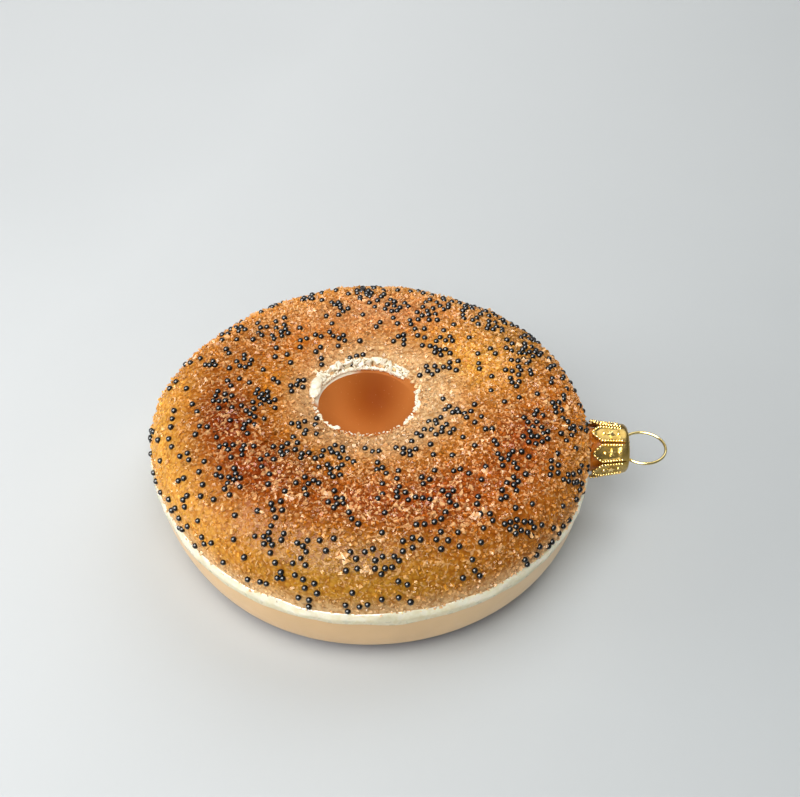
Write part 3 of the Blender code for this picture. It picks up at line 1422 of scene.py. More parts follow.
    def with_lip(self, colours: Array, points: Array) -> Array:
        """Adds the wall under the upper lip, creamy where the paste has run down it.

        Args:
            colours: The colours so far.
            points: Points from the body's middle.

        Returns:
            The painted colours.
        """
        away = self.shape.dimple_away(points)
        wall = 1 - eased(away, self.shape.lip_radius, self.shape.lip_radius + self.lip_fade)
        wall *= points[:, 2] > 0
        aside = np.degrees(np.arctan2(points[:, 1], points[:, 0])) % 360
        creamy = eased(aside, *self.creamy_from) * (1 - eased(aside, *self.creamy_to))
        colours = blended(colours, Paint.CARAMEL.linear, wall)
        return blended(colours, Paint.CREAM.linear, wall * creamy)

    def with_bowl(self, colours: Array, points: Array) -> Array:
        """Adds the brown of both dimples, darkest round a shifted middle: partly brown paint,
        partly painted shade.

        Args:
            colours: The colours so far.
            points: Points from the body's middle.

        Returns:
            The painted colours.
        """
        radius = np.hypot(points[:, 0], points[:, 1])
        away = np.where(points[:, 2] > 0, self.shape.dimple_away(points), radius)
        within = 1 - eased(away, self.shape.dimple_radius,
                           self.shape.dimple_radius + self.shape.edge)
        # The darker middle is partly the brown paint and partly painted shade of the bowl.
        shade_core = np.hypot(points[:, 0] - self.shape.dimple_shift[0] - self.shade_core[0],
                        points[:, 1] - self.shape.dimple_shift[1] - self.shade_core[1])
        bowl = blended(coated(Paint.CINNAMON, len(points)), Paint.CARAMEL.linear,
                       eased(shade_core, *self.shade_core_fade))
        return blended(colours, bowl, within)


# ---- Scattered glass ----


class Template(Enum):
    """The grain shapes that are modelled once and strewn many times."""

    SPLINTER = "splinter"
    CHIP = "chip"
    CRYSTAL = "crystal"
    BEAD = "bead"


Cut = tuple[tuple[float, float, float], tuple[float, float, float]]

# The planes that take the corners off a block, each a place on it and its direction.
CUTS: dict[Template, tuple[Cut, ...]] = {
    Template.CHIP: (
        ((0.2, 0.2, 0.2), (0.7, 0.5, 0.6)),
        ((-0.2, -0.25, 0.1), (-0.6, -0.7, 0.3)),
    ),
    Template.CRYSTAL: (
        ((0.25, 0.1, 0.2), (0.8, 0.3, 0.6)),
        ((-0.2, -0.2, 0.2), (-0.5, -0.6, 0.6)),
        ((-0.1, 0.25, -0.2), (-0.3, 0.8, -0.5)),
        ((0.2, -0.28, -0.1), (0.5, -0.8, -0.3)),
    ),
}


def grain_template(kind: Template) -> tuple[Array, Array]:
    """Models one grain about 1 across.

    Args:
        kind: Which grain.

    Returns:
        Its points and its triangles.
    """
    clear_bench()
    if kind is Template.SPLINTER:
        bpy.ops.mesh.primitive_cone_add(vertices=3, radius1=0.62, radius2=0.3, depth=0.8)
    elif kind is Template.BEAD:
        bpy.ops.mesh.primitive_ico_sphere_add(subdivisions=2, radius=0.5)
    else:
        bpy.ops.mesh.primitive_cube_add(size=0.9)
    bpy.ops.object.mode_set(mode="EDIT")
    for place, outward in CUTS.get(kind, ()):
        bpy.ops.mesh.select_all(action="SELECT")
        bpy.ops.mesh.bisect(plane_co=place, plane_no=outward, clear_outer=True, use_fill=True)
    bpy.ops.mesh.select_all(action="SELECT")
    bpy.ops.mesh.quads_convert_to_tris()
    bpy.ops.mesh.normals_make_consistent(inside=False)
    grain = settled(kind.value)
    points = points_of(grain)
    corners = np.array([list(face.vertices) for face in grain.data.polygons])
    bpy.data.objects.remove(grain, do_unlink=True)
    return points, corners


def random_turns(rng: np.random.Generator, count: int) -> Array:
    """Returns evenly random turns as matrices, one a row.

    Args:
        rng: The source of chance.
        count: How many.

    Returns:
        The matrices.
    """
    four = rng.normal(size=(count, 4))
    w, x, y, z = (four / np.linalg.norm(four, axis=1, keepdims=True)).T
    rows = [[1 - 2 * (y * y + z * z), 2 * (x * y - z * w), 2 * (x * z + y * w)],
            [2 * (x * y + z * w), 1 - 2 * (x * x + z * z), 2 * (y * z - x * w)],
            [2 * (x * z - y * w), 2 * (y * z + x * w), 1 - 2 * (x * x + y * y)]]
    return np.moveaxis(np.array(rows), 2, 0)


def strewn(name: str, template: tuple[Array, Array], places: Array,
           turns: Array, sizes: Array, smooth: bool) -> Piece:
    """Copies a grain to many places and joins the copies into one mesh.

    Args:
        name: The new object's name.
        template: The grain's points and triangles.
        places: Where each copy's middle goes, one a row.
        turns: Each copy's turn, as matrices.
        sizes: Each copy's size along its own three axes.
        smooth: Whether the grains are shaded smooth.

    Returns:
        The new object.
    """
    points, corners = template
    sized = points[None, :, :] * sizes[:, None, :]
    spots = np.einsum("nij,nkj->nki", turns, sized) + places[:, None, :]
    starts = np.arange(len(places))[:, None, None] * len(points)
    faces = (corners[None, :, :] + starts).reshape(-1, 3)
    mesh = bpy.data.meshes.new(name)
    mesh.vertices.add(len(places) * len(points))
    mesh.vertices.foreach_set("co", spots.astype(np.float32).ravel())
    mesh.loops.add(len(faces) * 3)
    mesh.loops.foreach_set("vertex_index", faces.astype(np.int32).ravel())
    mesh.polygons.add(len(faces))
    mesh.polygons.foreach_set("loop_start", np.arange(len(faces), dtype=np.int32) * 3)
    mesh.update(calc_edges=True)
    mesh.polygons.foreach_set("use_smooth", np.full(len(faces), smooth))
    obj = bpy.data.objects.new(name, mesh)
    bpy.context.scene.collection.objects.link(obj)
    return obj


def inside(points: Array, reach: Array, shape: BodyShape) -> Array:
    """Returns grains' middles, moved so that their reach stays in the solid body's box."""
    low, high = (np.array(corner) - shape.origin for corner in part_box("glass_body"))
    return np.clip(points, low + reach[:, None], high - reach[:, None])


def spaced(points: Array, gap: float) -> Array:
    """Picks points that keep a distance from each other.

    Args:
        points: Candidate points, the first ones first in line.
        gap: The least distance between two that are kept.

    Returns:
        The row numbers of the points that are kept.
    """
    cells: dict[tuple[int, int, int], list[int]] = {}
    kept = []
    for number, point in enumerate(points):
        cell = tuple(int(value) for value in np.floor(point / gap))
        near = (cells.get((cell[0] + i, cell[1] + j, cell[2] + k), ())
                for i in (-1, 0, 1) for j in (-1, 0, 1) for k in (-1, 0, 1))
        others = [other for group in near for other in group]
        if others and (((points[others] - point) ** 2).sum(1) < gap * gap).any():
            continue
        cells.setdefault(cell, []).append(number)
        kept.append(number)
    return np.array(kept, int)


@dataclass
class SeedBeads:
    """The black glass beads that stand for poppy seeds, in clusters and alone."""

    crust: CrustMap
    bead: float = 1.09 * MM
    closest: float = 0.92
    spread: float = 0.035
    size_limits: Span = (0.9, 1.08)
    uneven: float = 0.02
    sunk: float = 0.36
    sinking: Span = (0.6, 1.4)
    reach: float = 0.55
    alone: int = 500
    plenty: float = 1.75
    knots: tuple[int, ...] = (1, 2, 3, 5, 8)
    knot_tries: int = 2
    knot_spread: float = 0.7
    thin_share: float = 0.6
    thin_until: Span = (13.0, 20.0)
    margins: Span = (0.6 * MM, 1.1 * MM)
    seed: int = 11
    clusters: tuple[Drift, ...] = (
        Drift(180, 25, 1.6, 9), Drift(182, 18, 1.4, 8), Drift(160, 14, 1.3, 6),
        Drift(155, 27, 1.8, 10), Drift(208, 27, 2.0, 9), Drift(214, 31, 1.6, 8),
        Drift(130, 26, 2.2, 11), Drift(104, 28, 1.8, 9), Drift(229, 18, 2.2, 16),
        Drift(246, 19, 2.2, 17), Drift(240, 34, 1.8, 12), Drift(251, 37, 1.6, 9),
        Drift(273, 36, 1.9, 13), Drift(286, 34, 1.8, 8), Drift(258, 29, 1.6, 7),
        Drift(284, 24, 1.8, 8), Drift(345, 31, 2.0, 14), Drift(322, 30, 2.0, 12),
        Drift(333, 37, 1.8, 13), Drift(312, 37, 1.8, 11), Drift(340, 20, 2.0, 8),
        Drift(355, 34, 2.0, 10), Drift(12, 27, 2.4, 14), Drift(24, 31, 2.4, 18),
        Drift(40, 34, 2.2, 14), Drift(64, 29, 2.2, 15), Drift(58, 34, 2.2, 13),
        Drift(80, 26, 2.2, 12), Drift(90, 33, 2.2, 13), Drift(105, 15, 1.3, 6),
        Drift(30, 15, 1.4, 7), Drift(47, 20, 1.5, 7), Drift(70, 20, 2.0, 7),
        Drift(115, 34, 2.0, 8), Drift(300, 30, 1.8, 6), Drift(196, 20, 1.6, 6),
        Drift(248, 14.5, 1.4, 6), Drift(270, 15, 1.5, 5), Drift(318, 14.5, 1.3, 7),
        Drift(296, 16.5, 1.6, 5), Drift(336, 16, 1.5, 5), Drift(222, 14.5, 1.2, 4),
    )
    places: Array = field(default_factory=lambda: np.empty((0, 3)))

    def build(self) -> None:
        """Strews the beads."""
        rng = np.random.default_rng(self.seed)
        direction, way = self.candidates(rng)
        points, outward = self.crust.place(direction, way)
        keep = spaced(points, self.bead * self.closest)
        points, outward = points[keep], outward[keep]
        count = len(points)
        sizes = self.bead * rng.normal(1.0, self.spread, count).clip(*self.size_limits)
        lift = sizes * (0.5 - self.sunk) * rng.uniform(*self.sinking, count)
        points = inside(points + outward * lift[:, None], sizes * self.reach, self.crust.shape)
        self.places = points
        beads = strewn("seed_beads", grain_template(Template.BEAD),
                       points + self.crust.shape.origin, random_turns(rng, count),
                       sizes[:, None] * rng.normal(1.0, self.uneven, (count, 3)), True)
        dress(beads, BeadFinish().make())
        hand_over(beads, "seed_beads")

    def candidates(self, rng: np.random.Generator) -> tuple[Array, Array]:
        """Returns (direction, way) of the beads in clusters, and then of those alone.

        Args:
            rng: The source of chance.

        Returns:
            The places' directions, and their ways down.
        """
        directions, ways = [], []
        for cluster in self.clusters:
            radius = cluster.radius * MM
            turn, down = math.radians(cluster.direction), self.crust.way_at(radius)
            left = int(cluster.amount * self.plenty)
            while left > 0:
                knot = min(left, int(rng.choice(self.knots)))
                left -= knot
                aside, off = rng.normal(0.0, cluster.spread * MM, 2)
                for _ in range(knot * self.knot_tries):
                    near, out = rng.normal(0.0, self.knot_spread * self.bead, 2)
                    directions.append(turn + (aside + near) / radius)
                    ways.append(down + off + out)
        direction, way = self.crust.sown(rng, self.alone)
        radii = self.crust.radius_at(way) / MM
        share = self.thin_share + (1 - self.thin_share) * eased(radii, *self.thin_until)
        kept = rng.random(len(way)) < share
        directions = np.concatenate([directions, direction[kept]])
        ways = np.concatenate([ways, way[kept]])
        return directions, ways.clip(self.margins[0], self.crust.length - self.margins[1])


@dataclass(frozen=True)
class GritSort:
    """One sort of crushed glass and how it is strewn.

    Sizes are in metres, or shares of their lump for the large crystals.
    """

    name: str
    template: Template
    count: int
    smallest: float
    largest: float
    flatness: float
    paleness: Span
    seed: int
    everywhere: float
    gap: float
    lift: Span = (-0.05, 0.28)
    clear: Paint = Paint.CLEAR


@dataclass
class CrushedGlass:
    """The coat of crushed glass, from dust to coarse crystals."""

    crust: CrustMap
    paint: CrustPaint
    beads: SeedBeads
    sorts: tuple[GritSort, ...] = (
        GritSort("grit_fine", Template.SPLINTER, 11000, 0.32 * MM, 0.58 * MM, 0.8,
                 (-0.55, -0.02), 21, 0.22, 0.30 * MM),
        GritSort("grit_amber", Template.CHIP, 4500, 0.42 * MM, 0.80 * MM, 0.8,
                 (-0.7, -0.2), 22, 0.04, 0.50 * MM),
        GritSort("grit_clear", Template.CHIP, 4500, 0.42 * MM, 0.90 * MM, 0.7,
                 (-0.5, 0.42), 23, 0.04, 0.55 * MM),
        GritSort("crystals", Template.CRYSTAL, 380, 0.7 * MM, 1.3 * MM, 0.7,
                 (0.1, 0.8), 24, 0.02, 0.9 * MM),
    )
    lumps: tuple[Drift, ...] = (
        Drift(234, 27.5, 3.4, 0.4), Drift(240, 27.3, 2.6, 0.5), Drift(231, 25.8, 1.9, 0.4),
        Drift(263, 27.5, 2.2, 0.4), Drift(263, 35.5, 2.4, 0.5), Drift(268, 37.0, 1.9, 0.4),
        Drift(244, 21.5, 1.5, 0.4), Drift(252, 25.0, 1.6, 0.5), Drift(300, 33.0, 1.6, 0.4),
        Drift(318, 22.0, 1.5, 0.5), Drift(200, 21.0, 1.4, 0.4), Drift(20, 30.0, 1.6, 0.4),
    )
    large: GritSort = GritSort("large_crystals", Template.CRYSTAL, 72, 0.45, 0.75, 0.6,
                               (0.2, 0.9), 25, 1.0, 0.0, (0.05, 0.3), Paint.ICE)
    apart: Span = (0.3, 0.2)
    tries: int = 3
    uneven: Span = (0.65, 1.15)
    reach: float = 0.78
    tip_highlight_and_paleness: float = 0.45
    point_paleness: float = 0.26
    palest: float = 0.95
    brightness: Span = (1.05, 0.2)
    brightness_limits: Span = (0.5, 1.5)
    foot_shade: float = 0.9
    shade_limits: Span = (0.4, 1.3)
    under_bead: float = 0.72

    def build(self) -> None:
        """Strews every sort, and sets the few large crystals at listed places."""
        for sort in self.sorts:
            self.strew(sort)
        sort = self.large
        shards = sort.count // len(self.lumps)
        rng = np.random.default_rng(sort.seed)
        spread = np.repeat([lump.spread * MM for lump in self.lumps], shards)
        radius = np.repeat([lump.radius * MM for lump in self.lumps], shards)
        turn = np.radians(np.repeat([lump.direction for lump in self.lumps], shards))
        turn += rng.normal(0.0, self.apart[0], sort.count) * spread / radius
        way = np.array([self.crust.way_at(place) for place in radius])
        way += rng.normal(0.0, self.apart[1], sort.count) * spread
        points, outward = self.crust.place(turn, way)
        size = spread * rng.uniform(sort.smallest, sort.largest, sort.count)
        self.lay(sort, rng, points, outward, size, rng.uniform(*sort.paleness, sort.count))

    def coverage(self, points: Array, everywhere: float) -> Array:
        """Returns how thickly the coarse glass lies at points, from everywhere to 1."""
        return everywhere + (1 - everywhere) * self.paint.sugar(points)

    def strew(self, sort: GritSort) -> None:
        """Chooses the places and sizes of one sort's grains, and lays them.

        Args:
            sort: The sort of grit.
        """
        rng = np.random.default_rng(sort.seed)
        direction, way = self.crust.sown(rng, sort.count * self.tries)
        points, outward = self.crust.place(direction, way)
        kept = rng.random(len(points)) < self.coverage(points, sort.everywhere)
        points, outward = points[kept], outward[kept]
        chosen = spaced(points, sort.gap)
        chosen = chosen[self.clear_of_beads(points[chosen])][:sort.count]
        size = rng.uniform(sort.smallest, sort.largest, len(chosen))
        pale = rng.uniform(*sort.paleness, len(chosen))
        self.lay(sort, rng, points[chosen], outward[chosen], size, pale)

    def lay(self, sort: GritSort, rng: np.random.Generator, points: Array,
            outward: Array, size: Array, pale: Array) -> None:
        """Makes one piece of grains, each with painted shade darkest where it meets the skin and
        paler, lighter tips.

        Args:
            sort: The sort of grit.
            rng: The source of chance.
            points: The grains' places on the skin, from the body's middle.
            outward: The skin's outward directions there.
            size: The grains' sizes.
            pale: How pale each grain is, from the paint's own colour to clear.
        """
        count = len(points)
        sizes = size[:, None] * rng.uniform(*self.uneven, (count, 3))
        sizes[:, 2] *= sort.flatness
        places = points + outward * (size * rng.uniform(*sort.lift, count))[:, None]
        places = inside(places, sizes.max(1) * self.reach, self.crust.shape)
        turns = random_turns(rng, count)
        template = grain_template(sort.template)
        grains = strewn(sort.name, template, places + self.crust.shape.origin, turns, sizes,
                        False)
        offsets = np.einsum("nij,nkj->nki", turns, template[0][None] * sizes[:, None])
        lifts = np.einsum("nki,ni->nk", offsets, outward) / size[:, None]
        # Each grain pales towards its tip, partly the clear glass and partly painted highlight.
        shares = pale[:, None] + self.tip_highlight_and_paleness * lifts
        shares += rng.normal(0.0, self.point_paleness, lifts.shape)
        brightness = rng.normal(*self.brightness, count).clip(*self.brightness_limits)
        tints = self.paint.tint(points) * brightness[:, None]
        tints = np.repeat(tints, len(template[0]), axis=0)
        # Painted shade at each grain's foot, and painted light towards its tip.
        tints *= (self.foot_shade + lifts).clip(*self.shade_limits).reshape(-1, 1)
        tints = blended(tints, Paint.CLEAR.linear, shares.clip(0.0, self.palest).ravel())
        sugar = np.repeat(self.paint.sugar(points), len(template[0]))
        paint_points(grains, tints, sugar)
        dress(grains, GritFinish(sort.name, clear=sort.clear).make())
        hand_over(grains, "crushed_glass")

    def clear_of_beads(self, points: Array) -> Array:
        """Returns which points aren't under a bead.

        Args:
            points: Points from the body's middle.

        Returns:
            True for each free point.
        """
        free = np.ones(len(points), bool)
        reach = self.beads.bead * self.under_bead
        for bead in self.beads.places:
            near = np.abs(points - bead).max(1) < reach
            free[near] = ((points[near] - bead) ** 2).sum(1) > reach * reach
        return free


# ---- Cream line and crumbly paste ----


@dataclass(frozen=True)
class Wander:
    """A wandering share: how large, the seed of its phases and its waves to a turn."""

    amount: float
    seed: int
    waves: tuple[int, ...]

    def at(self, direction: Array) -> Array:
        """Returns the wandering value in each direction, which closes after a turn.

        Args:
            direction: The directions, in radians.

        Returns:
            The values.
        """
        rng = np.random.default_rng(self.seed)
        total = np.zeros_like(direction)
        for number in self.waves:
            wave = np.sin(number * direction + rng.uniform(0, FULL_TURN))
            total += wave / len(self.waves) ** 0.5
        return self.amount * total


@dataclass
class CreamLine:
    """The raised line of cream paint round the body's middle, just under the crust."""

    shape: BodyShape
    depth: float = 2.05 * MM
    depth_wander: Wander = Wander(0.14 * MM, 4, (1, 3, 7, 17, 31))
    half_width: float = 1.25 * MM
    width_wander: Wander = Wander(0.16, 3, (2, 5, 11, 23))
    front: float = 275.0
    front_swell: float = 0.22
    front_sink: float = 0.28 * MM
    height: float = 0.42 * MM
    height_wander: Wander = Wander(0.22, 5, (9, 19, 37, 61))
    ridges: float = 0.16
    ridge_turns: float = 7.0
    ridge_wander: Wander = Wander(0.8, 6, (3, 8, 13))
    inner: float = 0.6
    sunk: float = 0.05 * MM
    olive_and_shade_span: Span = (0.6, -0.4)
    olive_and_shade_wander: Wander = Wander(0.35, 7, (4, 9, 21, 43))
    steps: int = 640
    sides: int = 24

    def build(self) -> None:
        """Lays a ring along the seam and draws it out like a brushed line."""
        clear_bench()
        bpy.ops.mesh.primitive_torus_add(
            major_segments=self.steps, minor_segments=self.sides, location=self.shape.middle,
            major_radius=self.shape.radius, minor_radius=self.half_width)
        line = settled("cream_line")
        points = points_of(line) - self.shape.origin
        direction = np.arctan2(points[:, 1], points[:, 0])
        out = np.hypot(points[:, 0], points[:, 1]) - self.shape.radius
        turn = np.arctan2(points[:, 2], out)
        front = facing(points, self.front)
        width = self.half_width * (1 + self.width_wander.at(direction))
        width *= 1 + self.front_swell * front
        down = self.depth + self.depth_wander.at(direction) + self.front_sink * front
        across = np.sin(turn) * width
        rise = self.height * (1 + self.height_wander.at(direction))
        waves = self.ridge_turns * across / width + self.ridge_wander.at(direction)
        ridges = 1 + self.ridges * np.cos(waves)
        up = np.cos(turn) * rise * np.where(out > 0, ridges, self.inner)
        height = across - down
        radius = self.shape.side_radii(np.abs(height)) + up - self.sunk
        spots = np.stack([radius * np.cos(direction), radius * np.sin(direction), height], 1)
        move_points(line, self.shape.warped(spots) + self.shape.origin)
        take(line)
        bpy.ops.object.shade_smooth()
        # The lower half of the line turns darker and more olive: partly the paint's tint, partly
        # painted shade under the ridge.
        olive_and_shade = eased(across / width + self.olive_and_shade_wander.at(direction), *self.olive_and_shade_span)
        paint_points(line, blended(coated(Paint.BUTTER, len(points)), Paint.PUTTY.linear, olive_and_shade))
        dress(line, CREAM_PAINT.make())
        hand_over(line, "cream_paint")


@dataclass(frozen=True)
class PasteRun:
    """A stretch of crumbs along the lip: directions in degrees, sizes in mm."""

    start: float
    end: float
    middle: float
    width: float
    height: float
    crumb: float
    count: int


@dataclass(frozen=True)
class PasteBlob:
    """A smooth dab of paste: direction in degrees, radius and sizes in mm."""

    direction: float
    radius: float
    size: tuple[float, float, float]
    slant: float


@dataclass
class CrumbPaste:
    """The crumbly paste round the dimple: a thick arc at the back, crumbs elsewhere."""

    shape: BodyShape
    voxel: float = 0.085 * MM
    rounding: int = 3
    crevice_rounds: int = 14
    crevice_depth: float = 0.045 * MM
    end_taper: float = 6.0
    end_width: float = 0.4
    crumb_sizes: Span = (0.65, 1.15)
    crumb_shapes: tuple[tuple[float, ...], ...] = ((0.7, 0.6, 0.5), (1.15, 1.0, 0.9))
    dab_rise: float = 0.35
    seed: int = 31
    runs: tuple[PasteRun, ...] = (
        PasteRun(66, 150, 10.1, 1.1, 1.1, 1.65, 40),
        PasteRun(41, 70, 9.75, 1.4, 0.9, 1.5, 16),
        PasteRun(40, 146, 10.1, 1.8, 0.9, 0.95, 36),
        PasteRun(40, 158, 9.05, 0.1, -0.30, 0.70, 270),
        PasteRun(-44, 14, 9.3, 0.8, 0.30, 0.66, 50),
        PasteRun(190, 234, 9.3, 0.6, 0.20, 0.60, 36),
        PasteRun(236, 324, 9.2, 0.7, 0.12, 0.42, 46),
    )
    blobs: tuple[PasteBlob, ...] = (
        PasteBlob(156, 9.8, (2.2, 3.8, 1.6), 10.0),
        PasteBlob(165, 9.5, (2.2, 4.2, 1.1), 6.0),
        PasteBlob(49, 8.9, (0.8, 1.5, 0.6), 10.0),
        PasteBlob(235, 8.9, (0.8, 1.3, 0.6), 0.0),
        PasteBlob(12, 9.7, (0.9, 0.9, 0.6), 0.0),
    )

    def build(self) -> None:
        """Piles crumbs along the lip and fuses them."""
        places, sizes, turns = self.pile(np.random.default_rng(self.seed))
        places = places + self.shape.origin
        loose = len(places) - len(self.blobs)
        crumbs = strewn("crumbs", grain_template(Template.CRYSTAL), places[:loose],
                        turns[:loose], sizes[:loose], True)
        dabs = strewn("dabs", grain_template(Template.BEAD), places[loose:],
                      turns[loose:], sizes[loose:], True)
        paste = joined("crumb_paste", [crumbs, dabs])
        applied(paste, "REMESH", mode="VOXEL", voxel_size=self.voxel)
        applied(paste, "SMOOTH", factor=0.5, iterations=self.rounding)
        take(paste)
        bpy.ops.object.shade_smooth()
        # Painted shade: the paste is darkened where it lies below its smoothed surface, in the
        # crevices between crumbs.
        deep = eased(hollows(paste, self.crevice_rounds), 0.0, self.crevice_depth)
        colours = blended(coated(Paint.BUTTER, len(deep)), Paint.CREVICE.linear, deep)
        paint_points(paste, colours)
        dress(paste, CRUMBLY_PASTE.make())
        hand_over(paste, "crumb_paste")

    def spot(self, turn: float, radius: float, rise: float) -> tuple[float, float, float]:
        """Returns a point over the lip, from its direction, radius and height.

        Args:
            turn: The direction, in radians.
            radius: How far out.
            rise: How far above the lip.

        Returns:
            The point, from the body's middle.
        """
        shift = self.shape.dimple_shift
        return (radius * math.cos(turn) + shift[0], radius * math.sin(turn) + shift[1],
                self.shape.lip_height + rise)

    def pile(self, rng: np.random.Generator) -> tuple[Array, Array, Array]:
        """Returns the crumbs' middles from the body's middle, their sizes and turns.

        Args:
            rng: The source of chance.

        Returns:
            The middles, the sizes and the turns, with the dabs' last.
        """
        places, sizes = [], []
        for run in self.runs:
            for _ in range(run.count):
                share = rng.random()
                narrow = min(1.0, self.end_taper * min(share, 1 - share) + self.end_width)
                turn = math.radians(run.start + (run.end - run.start) * share)
                across = rng.uniform(-0.5, 0.5) * run.width * narrow
                rise = run.height * narrow * rng.random() * (1 - abs(across) / run.width)
                places.append(self.spot(turn, (run.middle + across) * MM, rise * MM))
                size = run.crumb * rng.uniform(*self.crumb_sizes) * MM
                sizes.append(size * rng.uniform(*self.crumb_shapes))
        turns = random_turns(rng, len(places))
        flat = []
        for blob in self.blobs:
            turn = math.radians(blob.direction)
            rise = self.dab_rise * blob.size[2] * MM
            places.append(self.spot(turn, blob.radius * MM, rise))
            sizes.append(np.array(blob.size) * MM)
            flat.append(Matrix.Rotation(turn + math.radians(blob.slant), 3, "Z"))
        return np.array(places), np.array(sizes), np.concatenate([turns, np.array(flat)])


# ---- Cap and wire ----


@dataclass
class PetalCap:
    """The pressed cap: eight pointed petals with beaded edges, and a flat end.

    The star's place and the dots' first values are shares of the cap's straight wall from
    the petal's tip, and bead_start is a share of the petal's point.
    """

    petals: int = 8
    turn: float = 11.5
    end_radius: float = 4.65 * MM
    corner: float = 1.0 * MM
    sheet: float = 0.3 * MM
    point: float = 1.8 * MM
    point_curve: float = 0.72
    blunt: float = 0.05 * MM
    slot_half: float = 0.17 * MM
    slot_end: float = 1.5 * MM
    slot_close: float = 0.3 * MM
    edge_width: float = 0.46 * MM
    edge_slope: float = 0.22 * MM
    panel_tip: float = 0.75
    panel_end: float = 0.35 * MM
    recess: float = 0.20 * MM
    relief: float = 0.12 * MM
    columns: int = 22
    rows: int = 44
    weld: float = 0.01 * MM
    crease: float = 40.0
    bead: float = 0.44 * MM
    bead_inset: float = 0.24 * MM
    bead_start: float = 0.2
    bead_stop: float = 0.3 * MM
    tip_pitch: float = 0.504 * MM
    side_pitch: float = 0.56 * MM / 1.08
    dots: tuple[Span, ...] = ((0.38, 0.72 * MM), (0.83, 0.66 * MM))
    pressed: float = 0.9
    star_place: float = 0.60
    star_radius: float = 0.85 * MM
    star_notch: float = 0.45
    star_depth: float = 0.28 * MM
    star_peak: float = 0.09 * MM
    star_points: int = 5
    seed: int = 41

    def __post_init__(self) -> None:
        """Reads the cap's place and size from its solid."""
        low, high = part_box("crown_cap")
        self.low, self.end = low.x, high.x
        self.axis = Vector((0.0, (low.y + high.y) / 2, (low.z + high.z) / 2))
        self.tip_radius = (high.y - low.y) / 2 - self.relief
        self.wall = self.end - self.corner - self.low
        self.length = self.wall + self.corner * math.pi / 2 + self.end_radius - self.corner

    def meridian(self, way: float) -> tuple[float, float, float, float]:
        """Finds a point on the sheet's outer face.

        Args:
            way: How far from the petals' tips, along the sheet.

        Returns:
            Its place along the neck, its radius, and the outward direction's two shares.
        """
        top_radius = self.end_radius - self.relief
        if way <= self.wall:
            share = way / self.wall
            slope = (self.tip_radius - top_radius) / self.wall
            radius = self.tip_radius + (top_radius - self.tip_radius) * share
            size = math.hypot(1.0, slope)
            return self.low + way, radius, slope / size, 1 / size
        arc = (way - self.wall) / self.corner
        if arc <= math.pi / 2:
            return (self.end - self.corner * (1 - math.sin(arc)),
                    top_radius - self.corner * (1 - math.cos(arc)),
                    math.sin(arc), math.cos(arc))
        rest = way - self.wall - self.corner * math.pi / 2
        return self.end, max(top_radius - self.corner - rest, 0.0), 1.0, 0.0

    def petal_turn(self, number: int) -> Matrix:
        """Returns the turn that takes the petal that points up to its own place."""
        step = math.radians(self.turn) + FULL_TURN * number / self.petals
        return Matrix.Rotation(step, 3, "X")

    def half_angle(self, way: float) -> float:
        """Returns half the angle that a petal spans at a way from its tip.

        Args:
            way: How far from the tip.

        Returns:
            The angle, in radians.
        """
        whole = math.pi / self.petals
        radius = self.meridian(way)[1]
        slot_stop = self.wall - self.slot_end + self.point
        if way >= slot_stop:
            return whole
        slot = self.slot_half / radius
        near_end = eased(way, slot_stop - self.slot_close, slot_stop)
        full = whole - slot * (1 - float(near_end))
        if way >= self.point:
            return full
        return max(full * (way / self.point) ** self.point_curve, self.blunt / radius)

    def spot(self, across: float, way: float, lift: float) -> tuple[Vector, Vector]:
        """Finds a point of the petal that points up, measured from the cap's axis.

        Args:
            across: From -1 to 1 over the petal's width.
            way: How far from its tip.
            lift: How far off the sheet's outer face.

        Returns:
            The point and the outward direction there.
        """
        along, radius, ahead, out = self.meridian(way)
        turn = across * self.half_angle(way)
        outward = Vector((ahead, out * math.sin(turn), out * math.cos(turn)))
        place = Vector((along, radius * math.sin(turn), radius * math.cos(turn)))
        return place + outward * lift, outward

    def sunk(self, across: float, way: float) -> float:
        """Returns how far the petal's panel is pressed in at a point.

        Args:
            across: From -1 to 1 over the petal's width.
            way: How far from its tip.

        Returns:
            The depth.
        """
        _, radius, _, _ = self.meridian(way)
        side = (1 - abs(across)) * self.half_angle(way) * radius
        side = min(side, way * self.panel_tip, self.wall - self.panel_end - way)
        return self.recess * float(eased(side, self.edge_width, self.edge_width + self.edge_slope))

    def build(self) -> None:
        """Makes the cap's sheet and its embossing."""
        cap = joined("crown_cap_sheet", [self.petal(number) for number in range(self.petals)])
        opened(cap)
        bpy.ops.mesh.remove_doubles(threshold=self.weld)
        bpy.ops.mesh.normals_make_consistent(inside=False)
        clear_bench()
        self.face_outward(cap)
        applied(cap, "SOLIDIFY", thickness=self.sheet, offset=-1.0)
        take(cap)
        bpy.ops.object.shade_smooth_by_angle(angle=math.radians(self.crease))
        dress(cap, GoldFinish("gold_cap").make())
        hand_over(cap, "gold_cap", "crown_cap")
        self.emboss()

    def face_outward(self, cap: Piece) -> None:
        """Turns the open sheet's faces outward where they point to the axis.

        Args:
            cap: The open sheet.
        """
        total = 0.0
        for face in cap.data.polygons:
            away = face.center - self.axis
            total += face.normal.y * away.y + face.normal.z * away.z
        if total < 0:
            cap.data.flip_normals()

    def petal(self, number: int) -> Piece:
        """Bends a flat grid into one petal with its share of the cap's end.

        Args:
            number: Which petal.

        Returns:
            The petal.
        """
        clear_bench()
        bpy.ops.mesh.primitive_grid_add(x_subdivisions=self.columns,
                                        y_subdivisions=self.rows, size=2.0)
        piece = settled(f"petal_{number}")
        turn = self.petal_turn(number)
        for vertex in piece.data.vertices:
            across = vertex.co.x
            way = (vertex.co.y + 1) / 2 * self.length
            place, _ = self.spot(across, way, -self.sunk(across, way))
            vertex.co = self.axis + turn @ place
        return piece

